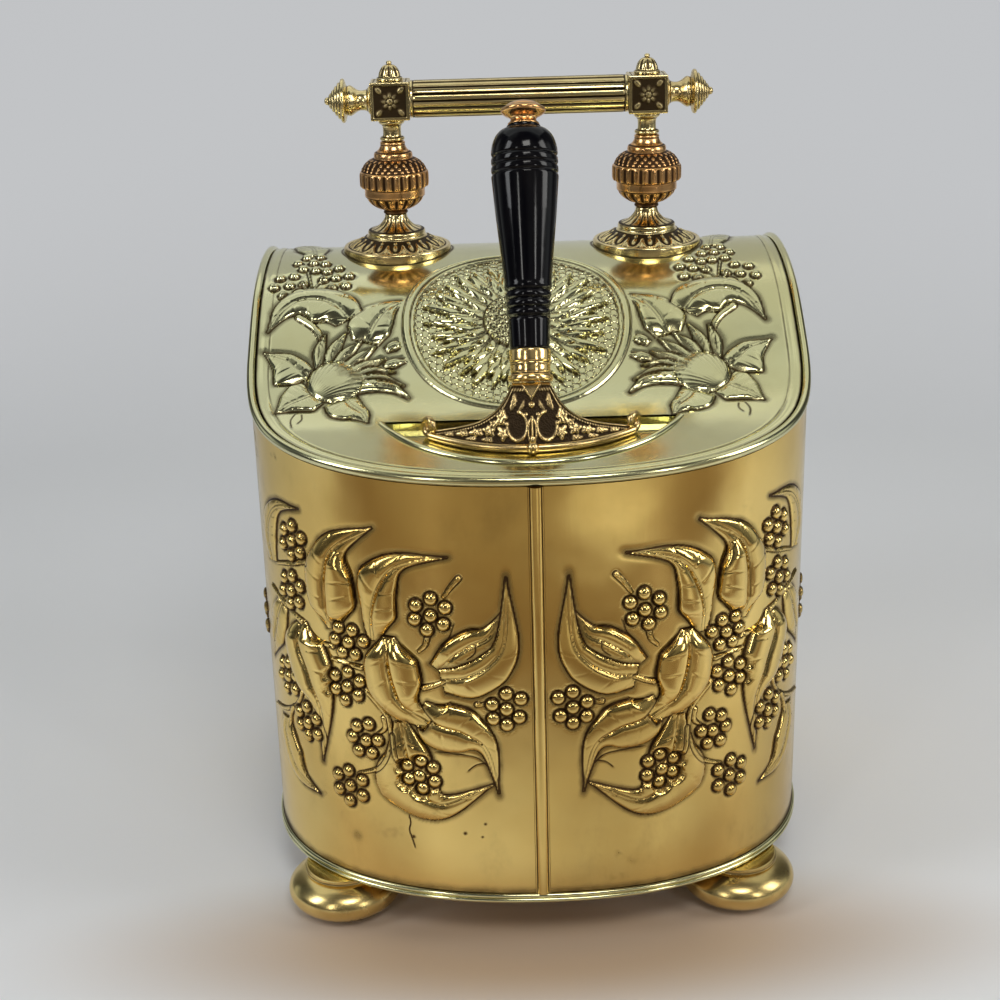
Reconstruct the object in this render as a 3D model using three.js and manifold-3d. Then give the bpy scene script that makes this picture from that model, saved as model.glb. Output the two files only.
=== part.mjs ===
// Brass coal scuttle: a bow-fronted box on four bun feet, closed by an ogee lid that is
// hinged along the back. The lid carries a turned and reeded handle on its crest and has a
// crescent slot near its front edge, where the scoop stands with its blade inside the box.
// Millimetres, +Z up, front towards -Y. y = 0 is where the straight sides start to bow.
import * as THREE from 'three';
import { mergeVertices } from 'three/addons/utils/BufferGeometryUtils.js';
import Module from 'manifold-3d';

const wasm = await Module();
wasm.setup();

// ---- Driving dimensions -----------------------------------------------------------------

const FIT = 0.3;                 // gap between pieces that seat on each other
const SHEET = 1.2;               // brass sheet of the box and the lid

// Plan of the box, to the outer face of the wall
const HALF_WIDTH = 172;
const BOW_DEPTH = 136;           // how far the front bows out beyond the straight sides
const BOW_POWER = 2.27;          // 2 would be an ellipse, more is squarer
const SIDE_LENGTH = 196;
const CORNER_RADIUS = 20;        // upright back corners

// Side view of the lid
const BASE_HEIGHT = 30;          // floor to the underside of the box
const FRONT_HEIGHT = 274.5;      // underside of the box to the lid's front edge
const LIP_SLOPE = 0.1;           // the almost level front lip
const OGEE_RISE = 56;
const OGEE_FROM_FRONT = 141;     // front of the box to the steepest place
const OGEE_SOFTNESS = 22.6;
const CREST_FROM_BACK = 138;     // back of the box to where the crest starts to fall
const CREST_DROP = 41.8;         // how far it has fallen at the back

// Base moulding, seam strip and feet
const MOULDING_HEIGHT = 6.2;
const MOULDING_PROUD = 1.8;
const MOULDING_INSET = 4;
const STRIP_HALF_WIDTH = 4.6;
const STRIP_PROUD = 2.8;
const FOOT_RADIUS = 36;
const FOOT_FLAT_RADIUS = 14;     // flat that meets the floor
const FOOT_BALL_HEIGHT = 27;
const FOOT_COLLAR_RADIUS = 24.5;
const REAR_FOOT_INSIDE = 46;     // side wall to the foot's axis
const FRONT_FOOT_INSIDE = 17.7;  // the same in front, where the wall has bowed in
const FOOT_FROM_FRONT = 52;
const FOOT_FROM_BACK = 46;
const STUD_RADIUS = 3;
const FOOT_NUT_FLATS = 12;
const FOOT_NUT_HEIGHT = 5;

// Wired edge of the lid and crescent slot
const RIM_RADIUS = 3;
const RIM_PROUD = 2.4;           // beyond the wall
const RIM_DROP = 1;              // wire centre below the lid's surface
const SLOT_RADIUS = 98;
const SLOT_DEPTH = 54;           // straight back edge to the crown of the arc
const SLOT_FROM_FRONT = 23.4;    // front of the box to the crown of the arc
const SLOT_BEAD_RADIUS = 1.9;
const TRAY_DEPTH = 6;            // lid's surface to the floor of the recess in the slot

// Hinge along the back
const HINGE_HALF_LENGTH = 130;
const KNUCKLE_RADIUS = 3.4;
const PIN_RADIUS = 1.6;
const LEAF = 1.4;
const LEAF_HEIGHT = 22;
const LID_LEAF_REACH = 16;       // lid leaf, lying on the lid's back margin
const KNUCKLE_COUNT = 5;
const KNUCKLE_GAP = 0.5;

// Carrying handle, heights above the lid at the post's axis
const POST_FROM_SIDE = 88;
const POST_FROM_BACK = 83;
const ROD_RADIUS = 2.5;
const POST_FOOT_RADIUS = 36;
const POST_FOOT_EDGE = 3.8;
const POST_COLLAR_RADIUS = 19.2;
const POST_COLLAR_HEIGHT = 10.2;
const POST_NECK_RADIUS = 6.9;
const POST_FOOT_TOP = 24.6;
const BULB_BELLY_RADIUS = 22.9;
const BULB_BAND_RADIUS = 20;
const BULB_HEIGHT = 47.7;
const GADROONS = 9;
const GADROON_DEPTH = 1.1;
const STEM_RADIUS = 6;
const STEM_RING_RADIUS = 8.2;
const STEM_LENGTH = 13.9;
const CUBE_WIDTH = 25.6;
const CUBE = 24.4;               // height and depth
const CUBE_BORDER = 2.2;
const CUBE_FIELD_DEPTH = 0.7;
const BAR_RADIUS = 12.1;
const REEDS = 16;
const REED_DEPTH = 1.1;
const TOP_FINIAL_RADIUS = 8.7;
const TOP_FINIAL_HEIGHT = 12.4;
const SIDE_FINIAL_RADIUS = 14.2;
const SIDE_FINIAL_LENGTH = 30.6;
const ROD_NUT_FLATS = 11;
const ROD_NUT_HEIGHT = 4.5;
const WASHER_RADIUS = 9;
const WASHER_THICKNESS = 1.5;

// Scoop: blade square to the lid, handle measured from the crown of its mount
const HANDLE_LEAN = 22;          // degrees, the grip leans back
const MOUNT_FROM_SLOT = 23.8;    // crown of the slot to the crown of the mount
const MOUNT_RADIUS = 102;        // of the mount's arc, seen from above
const MOUNT_HALF_WIDTH = 60;
const MOUNT_RIM_RADIUS = 2.6;
const MOUNT_SHELL = 3.2;
const MOUNT_NECK_HALF = 11;
const MOUNT_EDGE_HEIGHT = 14;    // hollow upper edge, out near the scrolls
const MOUNT_HEIGHT = 38;
const SCROLL_RADIUS = 4.6;
const BLADE_LENGTH = 136;
const BLADE_HALF_WIDTH = 56;
const BLADE_LIP = 30;            // how far its corners are rounded back
const BLADE_CLEARANCE = 0.8;     // in the slit that the blade passes through
const FERRULE_LENGTH = 18.7;
const FERRULE_RADIUS = 12.2;
const FERRULE_FLANGE_RADIUS = 13.2;
const GRIP_LENGTH = 130.7;
const GRIP_SLIM_RADIUS = 11.6;
const GRIP_FULL_RADIUS = 19.9;
const GROOVE_DEPTH = 0.9;
const GROOVE_PITCH = 5.1;
const GROOVE_WIDTH = 1.6;
const BUTTON_RADIUS = 13.2;
const BUTTON_LENGTH = 14.4;
const TANG_RADIUS = 2.5;

// Raised work of the sheets. A leaf is its rib from stalk to tip, as [along, up, half width],
// where a place on the wall is [distance round it from the seam, height] and a place on the
// lid is [x, distance up its curve from its front edge].
const RAISED_ROOT = 1.5;         // how deep a raised form reaches before it is trimmed
const EMBOSS_TOLERANCE = 0.25;
const LEAF_RISE = 2.8;
const BUNCH_RISE = 2.6;          // bunches of seven berries
const BUNCH_RADIUS = 13;
const WALL_LEAVES = [
  [[57, 180, 10], [30, 195, 17], [19, 216, 9], [18, 245, 0]],
  [[127, 203, 9], [128, 235, 18], [118, 258, 10], [96, 272, 0]],
  [[88, 207, 6], [87, 185, 18], [80, 163, 14], [66, 151, 4]],
  [[71, 160, 14], [45, 147, 16], [30, 132, 7], [25, 106, 0]],
  [[84, 150, 8], [79, 125, 15], [62, 98, 10], [29, 112, 0]],
  [[153, 201, 8], [152, 178, 18], [141, 147, 8], [143, 109, 0]],
];
const WALL_BUNCHES = [[62, 221], [19.5, 162], [119, 166], [121, 98]];
const SPRAY_TURN = 229;          // round the wall, where the spray starts to repeat backwards
const SPRAY_BACK_EDGE = 90;      // what lies nearer the seam than this isn't repeated
const SIDE_RISE = 1.7;           // of the repeated part, inside the reach of the wired edge
const LID_LEAVES = [
  [[-112, 170, 10], [-130, 186, 16], [-152, 179, 8], [-163, 160, 0]],
  [[-99, 152, 9], [-95, 166, 13], [-86, 180, 7], [-75, 186, 0]],
];
const LID_BUNCHES = [[-138, 235]];
const THISTLE = [-119, 117];     // bulb that the lid's flower grows from
const THISTLE_RADIUS = 16;
const THISTLE_RISE = 4.4;
const MEDALLION = [-6, 165];
const MEDALLION_RADIUS = 72;
const MEDALLION_STRETCH = 1.07;  // along the lid's curve
const MEDALLION_RING = 4.6;
const MEDALLION_RING_RISE = 1.5;
const PETALS = 7;
const SEED_HEAD_RADIUS = 21;

// Facets
const ROUND = 16;
const SMALL_ROUND = 12;

// ---- Places that follow from them -------------------------------------------------------

const FRONT_Y = -BOW_DEPTH;
const BACK_Y = SIDE_LENGTH;
const POST_Y = BACK_Y - POST_FROM_BACK;
const POST_HALF_SPAN = HALF_WIDTH - POST_FROM_SIDE;
const OGEE_Y = FRONT_Y + OGEE_FROM_FRONT;
const CREST_Y = BACK_Y - CREST_FROM_BACK;
const RIM_OFFSET = RIM_PROUD - RIM_RADIUS;
const LID_EDGE = RIM_OFFSET - RIM_RADIUS - FIT;
const SLOT_CROWN_Y = FRONT_Y + SLOT_FROM_FRONT;
const SLOT_CENTRE_Y = SLOT_CROWN_Y + SLOT_RADIUS;
const SLOT_BACK_Y = SLOT_CROWN_Y + SLOT_DEPTH;
const WALL_BOTTOM = BASE_HEIGHT + MOULDING_HEIGHT + FIT;
const FLOOR_TOP = BASE_HEIGHT + SHEET;
const BULB_TOP = POST_FOOT_TOP + FIT + BULB_HEIGHT;
const CUBE_BOTTOM = BULB_TOP + STEM_LENGTH + 2 * FIT;

// Height of the lid's upper face at y: a level lip, an ogee and a crest that rounds over.
function lidHeight(y) {
  const ogee = OGEE_RISE / (1 + Math.exp((OGEE_Y - y) / OGEE_SOFTNESS));
  const fall = CREST_DROP * Math.max(0, (y - CREST_Y) / CREST_FROM_BACK) ** 3;
  return BASE_HEIGHT + FRONT_HEIGHT + LIP_SLOPE * (y - FRONT_Y) + ogee - fall;
}

function lidSlope(y) {
  const step = 0.5;
  return Math.atan((lidHeight(y + step) - lidHeight(y - step)) / (2 * step));
}

// Lowest point of the lid's wired edge above a place on the wall.
function rimUnderside(y) {
  return lidHeight(y) - RIM_DROP - RIM_RADIUS / Math.cos(lidSlope(y));
}

const degrees = (value) => (value * Math.PI) / 180;
const range = (count) => Array.from({ length: count }, (_, i) => i);

// ---- Solids -----------------------------------------------------------------------------

// Welds a geometry, drops its empty triangles and turns its faces outwards.
function closed(geometry) {
  const bare = geometry.clone();
  for (const name of Object.keys(bare.attributes)) {
    if (name !== 'position') bare.deleteAttribute(name);
  }
  const welded = mergeVertices(bare, 1e-4);
  const position = welded.getAttribute('position');
  const old = welded.getIndex().array;
  const kept = [];
  let volume = 0;
  const [a, b, c] = [new THREE.Vector3(), new THREE.Vector3(), new THREE.Vector3()];
  for (let i = 0; i < old.length; i += 3) {
    const [p, q, r] = [old[i], old[i + 1], old[i + 2]];
    if (p === q || q === r || r === p) continue;
    kept.push(p, q, r);
    a.fromBufferAttribute(position, p);
    b.fromBufferAttribute(position, q);
    c.fromBufferAttribute(position, r);
    volume += a.dot(b.cross(c));
  }
  if (volume < 0) kept.reverse();
  welded.setIndex(kept);
  return welded;
}

function toManifold(geometry) {
  const solid = closed(geometry);
  const vertProperties = new Float32Array(solid.getAttribute('position').array);
  const triVerts = new Uint32Array(solid.getIndex().array);
  return new wasm.Manifold(new wasm.Mesh({ numProp: 3, vertProperties, triVerts }));
}

function fromManifold(manifold) {
  const mesh = manifold.getMesh();
  const geometry = new THREE.BufferGeometry();
  geometry.setAttribute('position', new THREE.BufferAttribute(mesh.vertProperties, 3));
  geometry.setIndex(new THREE.BufferAttribute(mesh.triVerts, 1));
  return geometry;
}

const cut = (body, ...tools) =>
  fromManifold(tools.reduce((left, tool) => left.subtract(toManifold(tool)), toManifold(body)));
const join = (body, ...others) =>
  fromManifold(others.reduce((whole, other) => whole.add(toManifold(other)), toManifold(body)));
const common = (body, other) => fromManifold(toManifold(body).intersect(toManifold(other)));

// A closed body through sections of equally many points, as a ring or with flat ends.
function loft(sections, isRing = false) {
  const size = sections[0].length;
  const points = sections.flat();
  const index = [];
  const spans = isRing ? sections.length : sections.length - 1;
  for (let s = 0; s < spans; s++) {
    const here = s * size;
    const next = ((s + 1) % sections.length) * size;
    for (let j = 0; j < size; j++) {
      const k = (j + 1) % size;
      index.push(here + j, next + j, next + k, here + j, next + k, here + k);
    }
  }
  if (!isRing) {
    const last = (sections.length - 1) * size;
    for (let j = 1; j < size - 1; j++) {
      index.push(0, j, j + 1, last, last + j + 1, last + j);
    }
  }
  const geometry = new THREE.BufferGeometry().setFromPoints(points);
  geometry.setIndex(index);
  return geometry;
}

// Turned about +Z, from [radius, height] pairs that start and end on the axis or close.
function turned(profile, segments = ROUND) {
  const points = profile.map(([radius, height]) => new THREE.Vector2(radius, height));
  return new THREE.LatheGeometry(points, segments).rotateX(Math.PI / 2);
}

// The same with a bore along its axis.
function turnedTube(profile, bore, segments = ROUND) {
  const first = profile[0];
  const last = profile[profile.length - 1];
  return turned([[bore, first[1]], ...profile, [bore, last[1]], [bore, first[1]]], segments);
}

// Points of an arc of a turned profile, centre, radii and angles in degrees from +r.
function arc(r, z, radiusR, radiusZ, from, to, steps) {
  return range(steps + 1).map((i) => {
    const angle = degrees(from + ((to - from) * i) / steps);
    return [r + radiusR * Math.cos(angle), z + radiusZ * Math.sin(angle)];
  });
}

function upright(shape, bottom, top, curveSegments = 12) {
  const settings = { depth: top - bottom, bevelEnabled: false, curveSegments };
  return new THREE.ExtrudeGeometry(shape, settings).translate(0, 0, bottom);
}

// A side view, points [y, z], carried from x = left to x = right.
function across(outline, left, right) {
  const shape = new THREE.Shape(outline.map(([y, z]) => new THREE.Vector2(y, z)));
  const settings = { depth: right - left, bevelEnabled: false };
  const turn = new THREE.Matrix4().makeBasis(
    new THREE.Vector3(0, 1, 0),
    new THREE.Vector3(0, 0, 1),
    new THREE.Vector3(1, 0, 0),
  );
  return new THREE.ExtrudeGeometry(shape, settings).applyMatrix4(turn).translate(left, 0, 0);
}

function rod(radius, bottom, top, segments = 16) {
  return new THREE.CylinderGeometry(radius, radius, top - bottom, segments)
    .rotateX(Math.PI / 2)
    .translate(0, 0, (top + bottom) / 2);
}

function hexNut(flats, bore, height) {
  const nut = new THREE.Shape();
  const corner = flats / Math.sqrt(3);
  nut.setFromPoints(range(6).map((i) => new THREE.Vector2(
    corner * Math.cos(degrees(60 * i)),
    corner * Math.sin(degrees(60 * i)),
  )));
  nut.holes.push(new THREE.Path().absarc(0, 0, bore, 0, 2 * Math.PI));
  return upright(nut, 0, height, 4);
}

// ---- Plan outline -----------------------------------------------------------------------

const BOW_STEPS = 18;
const SIDE_STEPS = 9;
const CORNER_STEPS = 3;

// Right half of the plan, offset outwards, from the middle of the front to the back corner.
function halfPlan(offset, sideSteps = SIDE_STEPS) {
  const bow = range(BOW_STEPS + 1).map((i) => {
    const angle = (Math.PI / 2) * (1 - i / BOW_STEPS);
    return new THREE.Vector2(
      (HALF_WIDTH + offset) * Math.abs(Math.cos(angle)) ** (2 / BOW_POWER),
      -(BOW_DEPTH + offset) * Math.sin(angle) ** (2 / BOW_POWER),
    );
  });
  bow[0].x = 0;
  const sideEnd = SIDE_LENGTH - CORNER_RADIUS;
  const side = range(sideSteps).map((i) =>
    new THREE.Vector2(HALF_WIDTH + offset, (sideEnd * (i + 1)) / sideSteps));
  const corner = range(CORNER_STEPS).map((i) => {
    const angle = ((Math.PI / 2) * (i + 1)) / CORNER_STEPS;
    return new THREE.Vector2(
      HALF_WIDTH - CORNER_RADIUS + (CORNER_RADIUS + offset) * Math.cos(angle),
      sideEnd + (CORNER_RADIUS + offset) * Math.sin(angle),
    );
  });
  return [...bow, ...side, ...corner];
}

// From the middle to the wall's outer face, beside a place in the bow.
function wallHalfWidth(y) {
  const forward = Math.max(0, -y) / BOW_DEPTH;
  return HALF_WIDTH * (1 - forward ** BOW_POWER) ** (1 / BOW_POWER);
}

const mirrored = (point) => new THREE.Vector2(-point.x, point.y);

// The whole plan as a closed outline.
function fullPlan(offset, sideSteps = 1) {
  const right = halfPlan(offset, sideSteps);
  return [...right, ...right.slice(1).reverse().map(mirrored)];
}

const planShape = (offset) => new THREE.Shape(fullPlan(offset));

// ---- Materials --------------------------------------------------------------------------

const metal = (color, roughness) =>
  new THREE.MeshStandardMaterial({ color, roughness, metalness: 1 });
const wallBrass = metal(0xc4a459, 0.34);
const lidBrass = metal(0xc6bf85, 0.24);
const turnedBrass = metal(0xb08d45, 0.3);
const footBrass = metal(0x9c8748, 0.4);
const bronze = metal(0x5d4630, 0.45);
const copper = metal(0xa66a45, 0.35);
const steel = metal(0x6f6a60, 0.5);
const ebony = new THREE.MeshStandardMaterial({ color: 0x0b0c11, roughness: 0.16, metalness: 0 });

const group = new THREE.Group();

function add(name, geometry, material, parent = group) {
  const mesh = new THREE.Mesh(closed(geometry), material.clone());
  mesh.name = name;
  parent.add(mesh);
  return mesh;
}

// ---- Raised work ------------------------------------------------------------------------

const wallLine = halfPlan(0);
const wallRun = wallLine.reduce((run, point, i) =>
  [...run, i ? run[i - 1] + point.distanceTo(wallLine[i - 1]) : 0], []);

// A place on the right half of the wall, `rise` outside it.
function onWall(around, height, rise) {
  const next = Math.max(1, wallRun.findIndex((run) => run > around));
  const share = (around - wallRun[next - 1]) / (wallRun[next] - wallRun[next - 1]);
  const ring = halfPlan(rise);
  const { x, y } = ring[next - 1].lerp(ring[next], share);
  return new THREE.Vector3(x, y, height);
}

const lidStations = range(BACK_Y - FRONT_Y + 1).map((i) => FRONT_Y + i);
const lidRun = lidStations.reduce((run, y, i) =>
  [...run, i ? run[i - 1] + Math.hypot(1, lidHeight(y) - lidHeight(y - 1)) : 0], []);

// A place on the lid, `rise` above it.
function onLid(x, up, rise) {
  const next = lidRun.findIndex((run) => run > up);
  const y = lidStations[next] - (lidRun[next] - up) / (lidRun[next] - lidRun[next - 1]);
  const slope = lidSlope(y);
  return new THREE.Vector3(x, y - rise * Math.sin(slope), lidHeight(y) + rise * Math.cos(slope));
}

// A leaf with a ridge along its rib.
function leaf(place, rib, rise = LEAF_RISE) {
  const spread = 1 + RAISED_ROOT / rise;
  return loft(rib.map(([along, up, halfWidth], i) => {
    const before = rib[Math.max(0, i - 1)];
    const after = rib[Math.min(rib.length - 1, i + 1)];
    const across = new THREE.Vector2(before[1] - after[1], after[0] - before[0])
      .setLength(Math.max(halfWidth, 0.4) * spread);
    return [
      place(along + across.x, up + across.y, -RAISED_ROOT),
      place(along, up, halfWidth ? rise : rise / 4),
      place(along - across.x, up - across.y, -RAISED_ROOT),
      place(along, up, -RAISED_ROOT),
    ];
  }));
}

// A low boss with sloping sides, for a bunch of berries or a flower's bulb.
function boss(place, [along, up], radius, rise, sides = 6) {
  const ring = (reach, height) => range(sides).map((i) => {
    const angle = Math.PI / 2 + (2 * Math.PI * i) / sides;
    return place(along + reach * Math.cos(angle), up + reach * Math.sin(angle), height);
  });
  return loft([ring(radius, -RAISED_ROOT), ring(0.68 * radius, rise)]);
}

// A sheet with its raised forms, less the facets that flatten out within EMBOSS_TOLERANCE.
function embossed(sheet, forms) {
  const whole = forms.reduce((joined, form) => joined.add(toManifold(form)), toManifold(sheet));
  return fromManifold(whole.simplify(EMBOSS_TOLERANCE));
}

const bunch = (place, centre, rise) => boss(place, centre, BUNCH_RADIUS, rise);

// ---- Box --------------------------------------------------------------------------------

// Leaves and bunches of one panel. Round on its flat side they repeat in mirror image, lower,
// as the wired edge stands less far out there.
function wallSpray(side) {
  const onPanel = (around, height, rise) => {
    const place = onWall(around, height, rise);
    return new THREE.Vector3(side * place.x, place.y, place.z);
  };
  const onSide = (around, height, rise) =>
    onPanel(2 * SPRAY_TURN - around, height, Math.min(rise, SIDE_RISE));
  const isBehind = ([around]) => around > SPRAY_BACK_EDGE;
  const forms = [
    ...WALL_LEAVES.map((rib) => leaf(onPanel, rib)),
    ...WALL_BUNCHES.map((centre) => bunch(onPanel, centre, BUNCH_RISE)),
    ...WALL_LEAVES.filter(([stalk]) => isBehind(stalk)).map((rib) => leaf(onSide, rib)),
  ];
  const inside = upright(planShape(-SHEET / 2), BASE_HEIGHT, lidTop);
  return forms.map((form) => cut(form, inside));
}

// One of the two embossed sheets: from the front seam round the side and the back corner.
function bodyPanel(side) {
  const outer = halfPlan(0);
  const inner = halfPlan(-SHEET);
  outer[0].x = FIT / 2;
  inner[0].x = FIT / 2;
  const sections = outer.map((point, i) => {
    const top = rimUnderside(point.y) - FIT;
    const x = side * point.x;
    const innerX = side * inner[i].x;
    return [
      new THREE.Vector3(x, point.y, WALL_BOTTOM),
      new THREE.Vector3(x, point.y, top),
      new THREE.Vector3(innerX, inner[i].y, top),
      new THREE.Vector3(innerX, inner[i].y, WALL_BOTTOM),
    ];
  });
  return embossed(loft(sections), wallSpray(side));
}

const hingeY = BACK_Y + FIT + LEAF / 2 + KNUCKLE_RADIUS;
const hingeZ = lidHeight(BACK_Y) - RIM_DROP;

function backPanel() {
  const halfWidth = HALF_WIDTH - CORNER_RADIUS - FIT;
  const top = rimUnderside(BACK_Y) - FIT;
  const outline = [[BACK_Y - SHEET, WALL_BOTTOM], [BACK_Y, WALL_BOTTOM], [BACK_Y, top],
    [BACK_Y - SHEET, top]];
  return across(outline, -halfWidth, halfWidth);
}

const frontFootY = FRONT_Y + FOOT_FROM_FRONT;
const footPlaces = [-1, 1].flatMap((side) => {
  const hand = side < 0 ? 'left' : 'right';
  const frontX = wallHalfWidth(frontFootY) - FRONT_FOOT_INSIDE;
  const rearX = HALF_WIDTH - REAR_FOOT_INSIDE;
  return [
    { name: `front_${hand}`, x: side * frontX, y: frontFootY },
    { name: `rear_${hand}`, x: side * rearX, y: BACK_Y - FOOT_FROM_BACK },
  ];
});

function bottomPlate() {
  const plate = planShape(-MOULDING_INSET - FIT);
  for (const { x, y } of footPlaces) {
    plate.holes.push(new THREE.Path().absarc(x, y, STUD_RADIUS + FIT, 0, 2 * Math.PI));
  }
  return upright(plate, BASE_HEIGHT, FLOOR_TOP, 4);
}

// Two wires, one on the other, in one ring under the wall.
function baseMoulding() {
  const wire = MOULDING_HEIGHT / 4;
  const profile = [
    [-MOULDING_INSET, 0],
    [MOULDING_PROUD - wire, 0],
    [MOULDING_PROUD, wire],
    [MOULDING_PROUD - wire, 2 * wire],
    [MOULDING_PROUD, 3 * wire],
    [MOULDING_PROUD - wire, 4 * wire],
    [-MOULDING_INSET, 4 * wire],
  ];
  const rings = profile.map(([offset]) => fullPlan(offset));
  const sections = rings[0].map((_, i) => profile.map(([, height], j) =>
    new THREE.Vector3(rings[j][i].x, rings[j][i].y, BASE_HEIGHT + height)));
  return loft(sections, true);
}

// Half-round strip over the seam where the two panels meet.
function seamStrip() {
  const steps = 8;
  const strip = new THREE.Shape(range(steps + 1).map((i) => {
    const angle = Math.PI * (1 + i / steps);
    return new THREE.Vector2(
      STRIP_HALF_WIDTH * Math.cos(angle),
      FRONT_Y - FIT + STRIP_PROUD * Math.sin(angle),
    );
  }));
  return upright(strip, WALL_BOTTOM, rimUnderside(FRONT_Y) - FIT);
}

function foot() {
  const ball = FOOT_BALL_HEIGHT / 2;
  const collarTop = BASE_HEIGHT - FIT;
  const studTop = FLOOR_TOP + FIT + FOOT_NUT_HEIGHT + 2;
  const bulge = FOOT_RADIUS - FOOT_FLAT_RADIUS;
  return turned([
    [0, 0],
    ...arc(FOOT_FLAT_RADIUS, ball, bulge, ball, -90, 62, 4),
    [FOOT_COLLAR_RADIUS, FOOT_BALL_HEIGHT - 0.8],
    [FOOT_COLLAR_RADIUS, collarTop],
    [STUD_RADIUS, collarTop],
    [STUD_RADIUS, studTop],
    [0, studTop],
  ]);
}

function box() {
  add('body_panel_left', bodyPanel(-1), wallBrass);
  add('body_panel_right', bodyPanel(1), wallBrass);
  add('back_panel', backPanel(), wallBrass);
  add('bottom_plate', bottomPlate(), wallBrass);
  add('base_moulding', baseMoulding(), lidBrass);
  add('seam_strip', seamStrip(), wallBrass);
  for (const { name, x, y } of footPlaces) {
    add(`foot_${name}`, foot(), footBrass).position.set(x, y, 0);
    const nut = hexNut(FOOT_NUT_FLATS, STUD_RADIUS + FIT, FOOT_NUT_HEIGHT);
    add(`foot_nut_${name}`, nut, steel).position.set(x, y, FLOOR_TOP + FIT);
  }
}

// ---- Hinge ------------------------------------------------------------------------------

const alongX = (geometry) => geometry.rotateY(Math.PI / 2).translate(0, hingeY, hingeZ);

const knuckleSpans = range(KNUCKLE_COUNT).map((i) => {
  const length = (2 * HINGE_HALF_LENGTH) / KNUCKLE_COUNT;
  const start = -HINGE_HALF_LENGTH + i * length;
  return { from: start + KNUCKLE_GAP / 2, to: start + length - KNUCKLE_GAP / 2 };
});

// A leaf with knuckles on every second span, cleared round the other leaf's knuckles.
function hingeLeaf(plate, isMine) {
  let leaf = plate;
  knuckleSpans.forEach(({ from, to }, i) => {
    if (isMine(i)) leaf = join(leaf, alongX(rod(KNUCKLE_RADIUS, from, to, 10)));
    else {
      const clear = rod(KNUCKLE_RADIUS + 2 * FIT, from - KNUCKLE_GAP, to + KNUCKLE_GAP, 12);
      leaf = cut(leaf, alongX(clear));
    }
  });
  const bore = rod(PIN_RADIUS + FIT, -HINGE_HALF_LENGTH - 1, HINGE_HALF_LENGTH + 1, 12);
  return cut(leaf, alongX(bore));
}

const isBodySpan = (i) => i % 2 === 0;

function bodyLeaf() {
  const near = BACK_Y + FIT;
  const outline = [[near, hingeZ - LEAF_HEIGHT], [near + LEAF, hingeZ - LEAF_HEIGHT],
    [near + LEAF, hingeZ], [near, hingeZ]];
  const plate = across(outline, -HINGE_HALF_LENGTH, HINGE_HALF_LENGTH);
  return hingeLeaf(plate, isBodySpan);
}

// Lies on the lid's back margin and runs down over the wall to the knuckles.
function lidLeaf() {
  const top = [];
  const under = [];
  const steps = 4;
  const end = BACK_Y + LID_EDGE;
  range(steps + 1).forEach((i) => {
    const y = end - LID_LEAF_REACH * (1 - i / steps);
    const lift = 1 / Math.cos(lidSlope(y));
    under.push([y, lidHeight(y) + FIT * lift]);
    top.push([y, lidHeight(y) + (FIT + LEAF) * lift]);
  });
  const outline = [...under, [hingeY - LEAF, hingeZ + KNUCKLE_RADIUS - LEAF],
    [hingeY, hingeZ + KNUCKLE_RADIUS - LEAF], [hingeY, hingeZ + KNUCKLE_RADIUS], ...top.reverse()];
  const plate = across(outline, -HINGE_HALF_LENGTH, HINGE_HALF_LENGTH);
  return hingeLeaf(plate, (i) => !isBodySpan(i));
}

function hinge() {
  const pin = alongX(rod(PIN_RADIUS, -HINGE_HALF_LENGTH, HINGE_HALF_LENGTH, 12));
  add('hinge_leaf_body', bodyLeaf(), turnedBrass);
  add('hinge_pin', pin, steel);
  add('hinge_leaf_lid', lidLeaf(), turnedBrass);
}

// ---- Lid --------------------------------------------------------------------------------

const LID_STEPS = 28;

// Side view between two faces of the lid, `above` and `below` its upper face.
function lidBand(above, below) {
  const start = FRONT_Y - 2 * RIM_RADIUS;
  const end = BACK_Y + 2 * RIM_RADIUS;
  const stations = range(LID_STEPS + 1).map((i) => start + ((end - start) * i) / LID_STEPS);
  return [
    ...stations.map((y) => [y, lidHeight(y) + above]),
    ...stations.reverse().map((y) => [y, lidHeight(y) - below]),
  ];
}

// The slot seen from above, drawn in by `inset`.
function slotShape(inset) {
  const radius = SLOT_RADIUS - inset;
  const chord = SLOT_CENTRE_Y - (SLOT_BACK_Y - inset);
  const half = Math.acos(chord / radius);
  const shape = new THREE.Shape();
  shape.absarc(0, SLOT_CENTRE_Y, radius, -Math.PI / 2 - half, -Math.PI / 2 + half);
  return shape;
}

const lidTop = lidHeight(CREST_Y) + OGEE_RISE;

function onMedallion(radius, angle, rise) {
  const [x, up] = MEDALLION;
  return onLid(
    x + radius * Math.cos(angle),
    up + MEDALLION_STRETCH * radius * Math.sin(angle),
    rise,
  );
}

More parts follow.
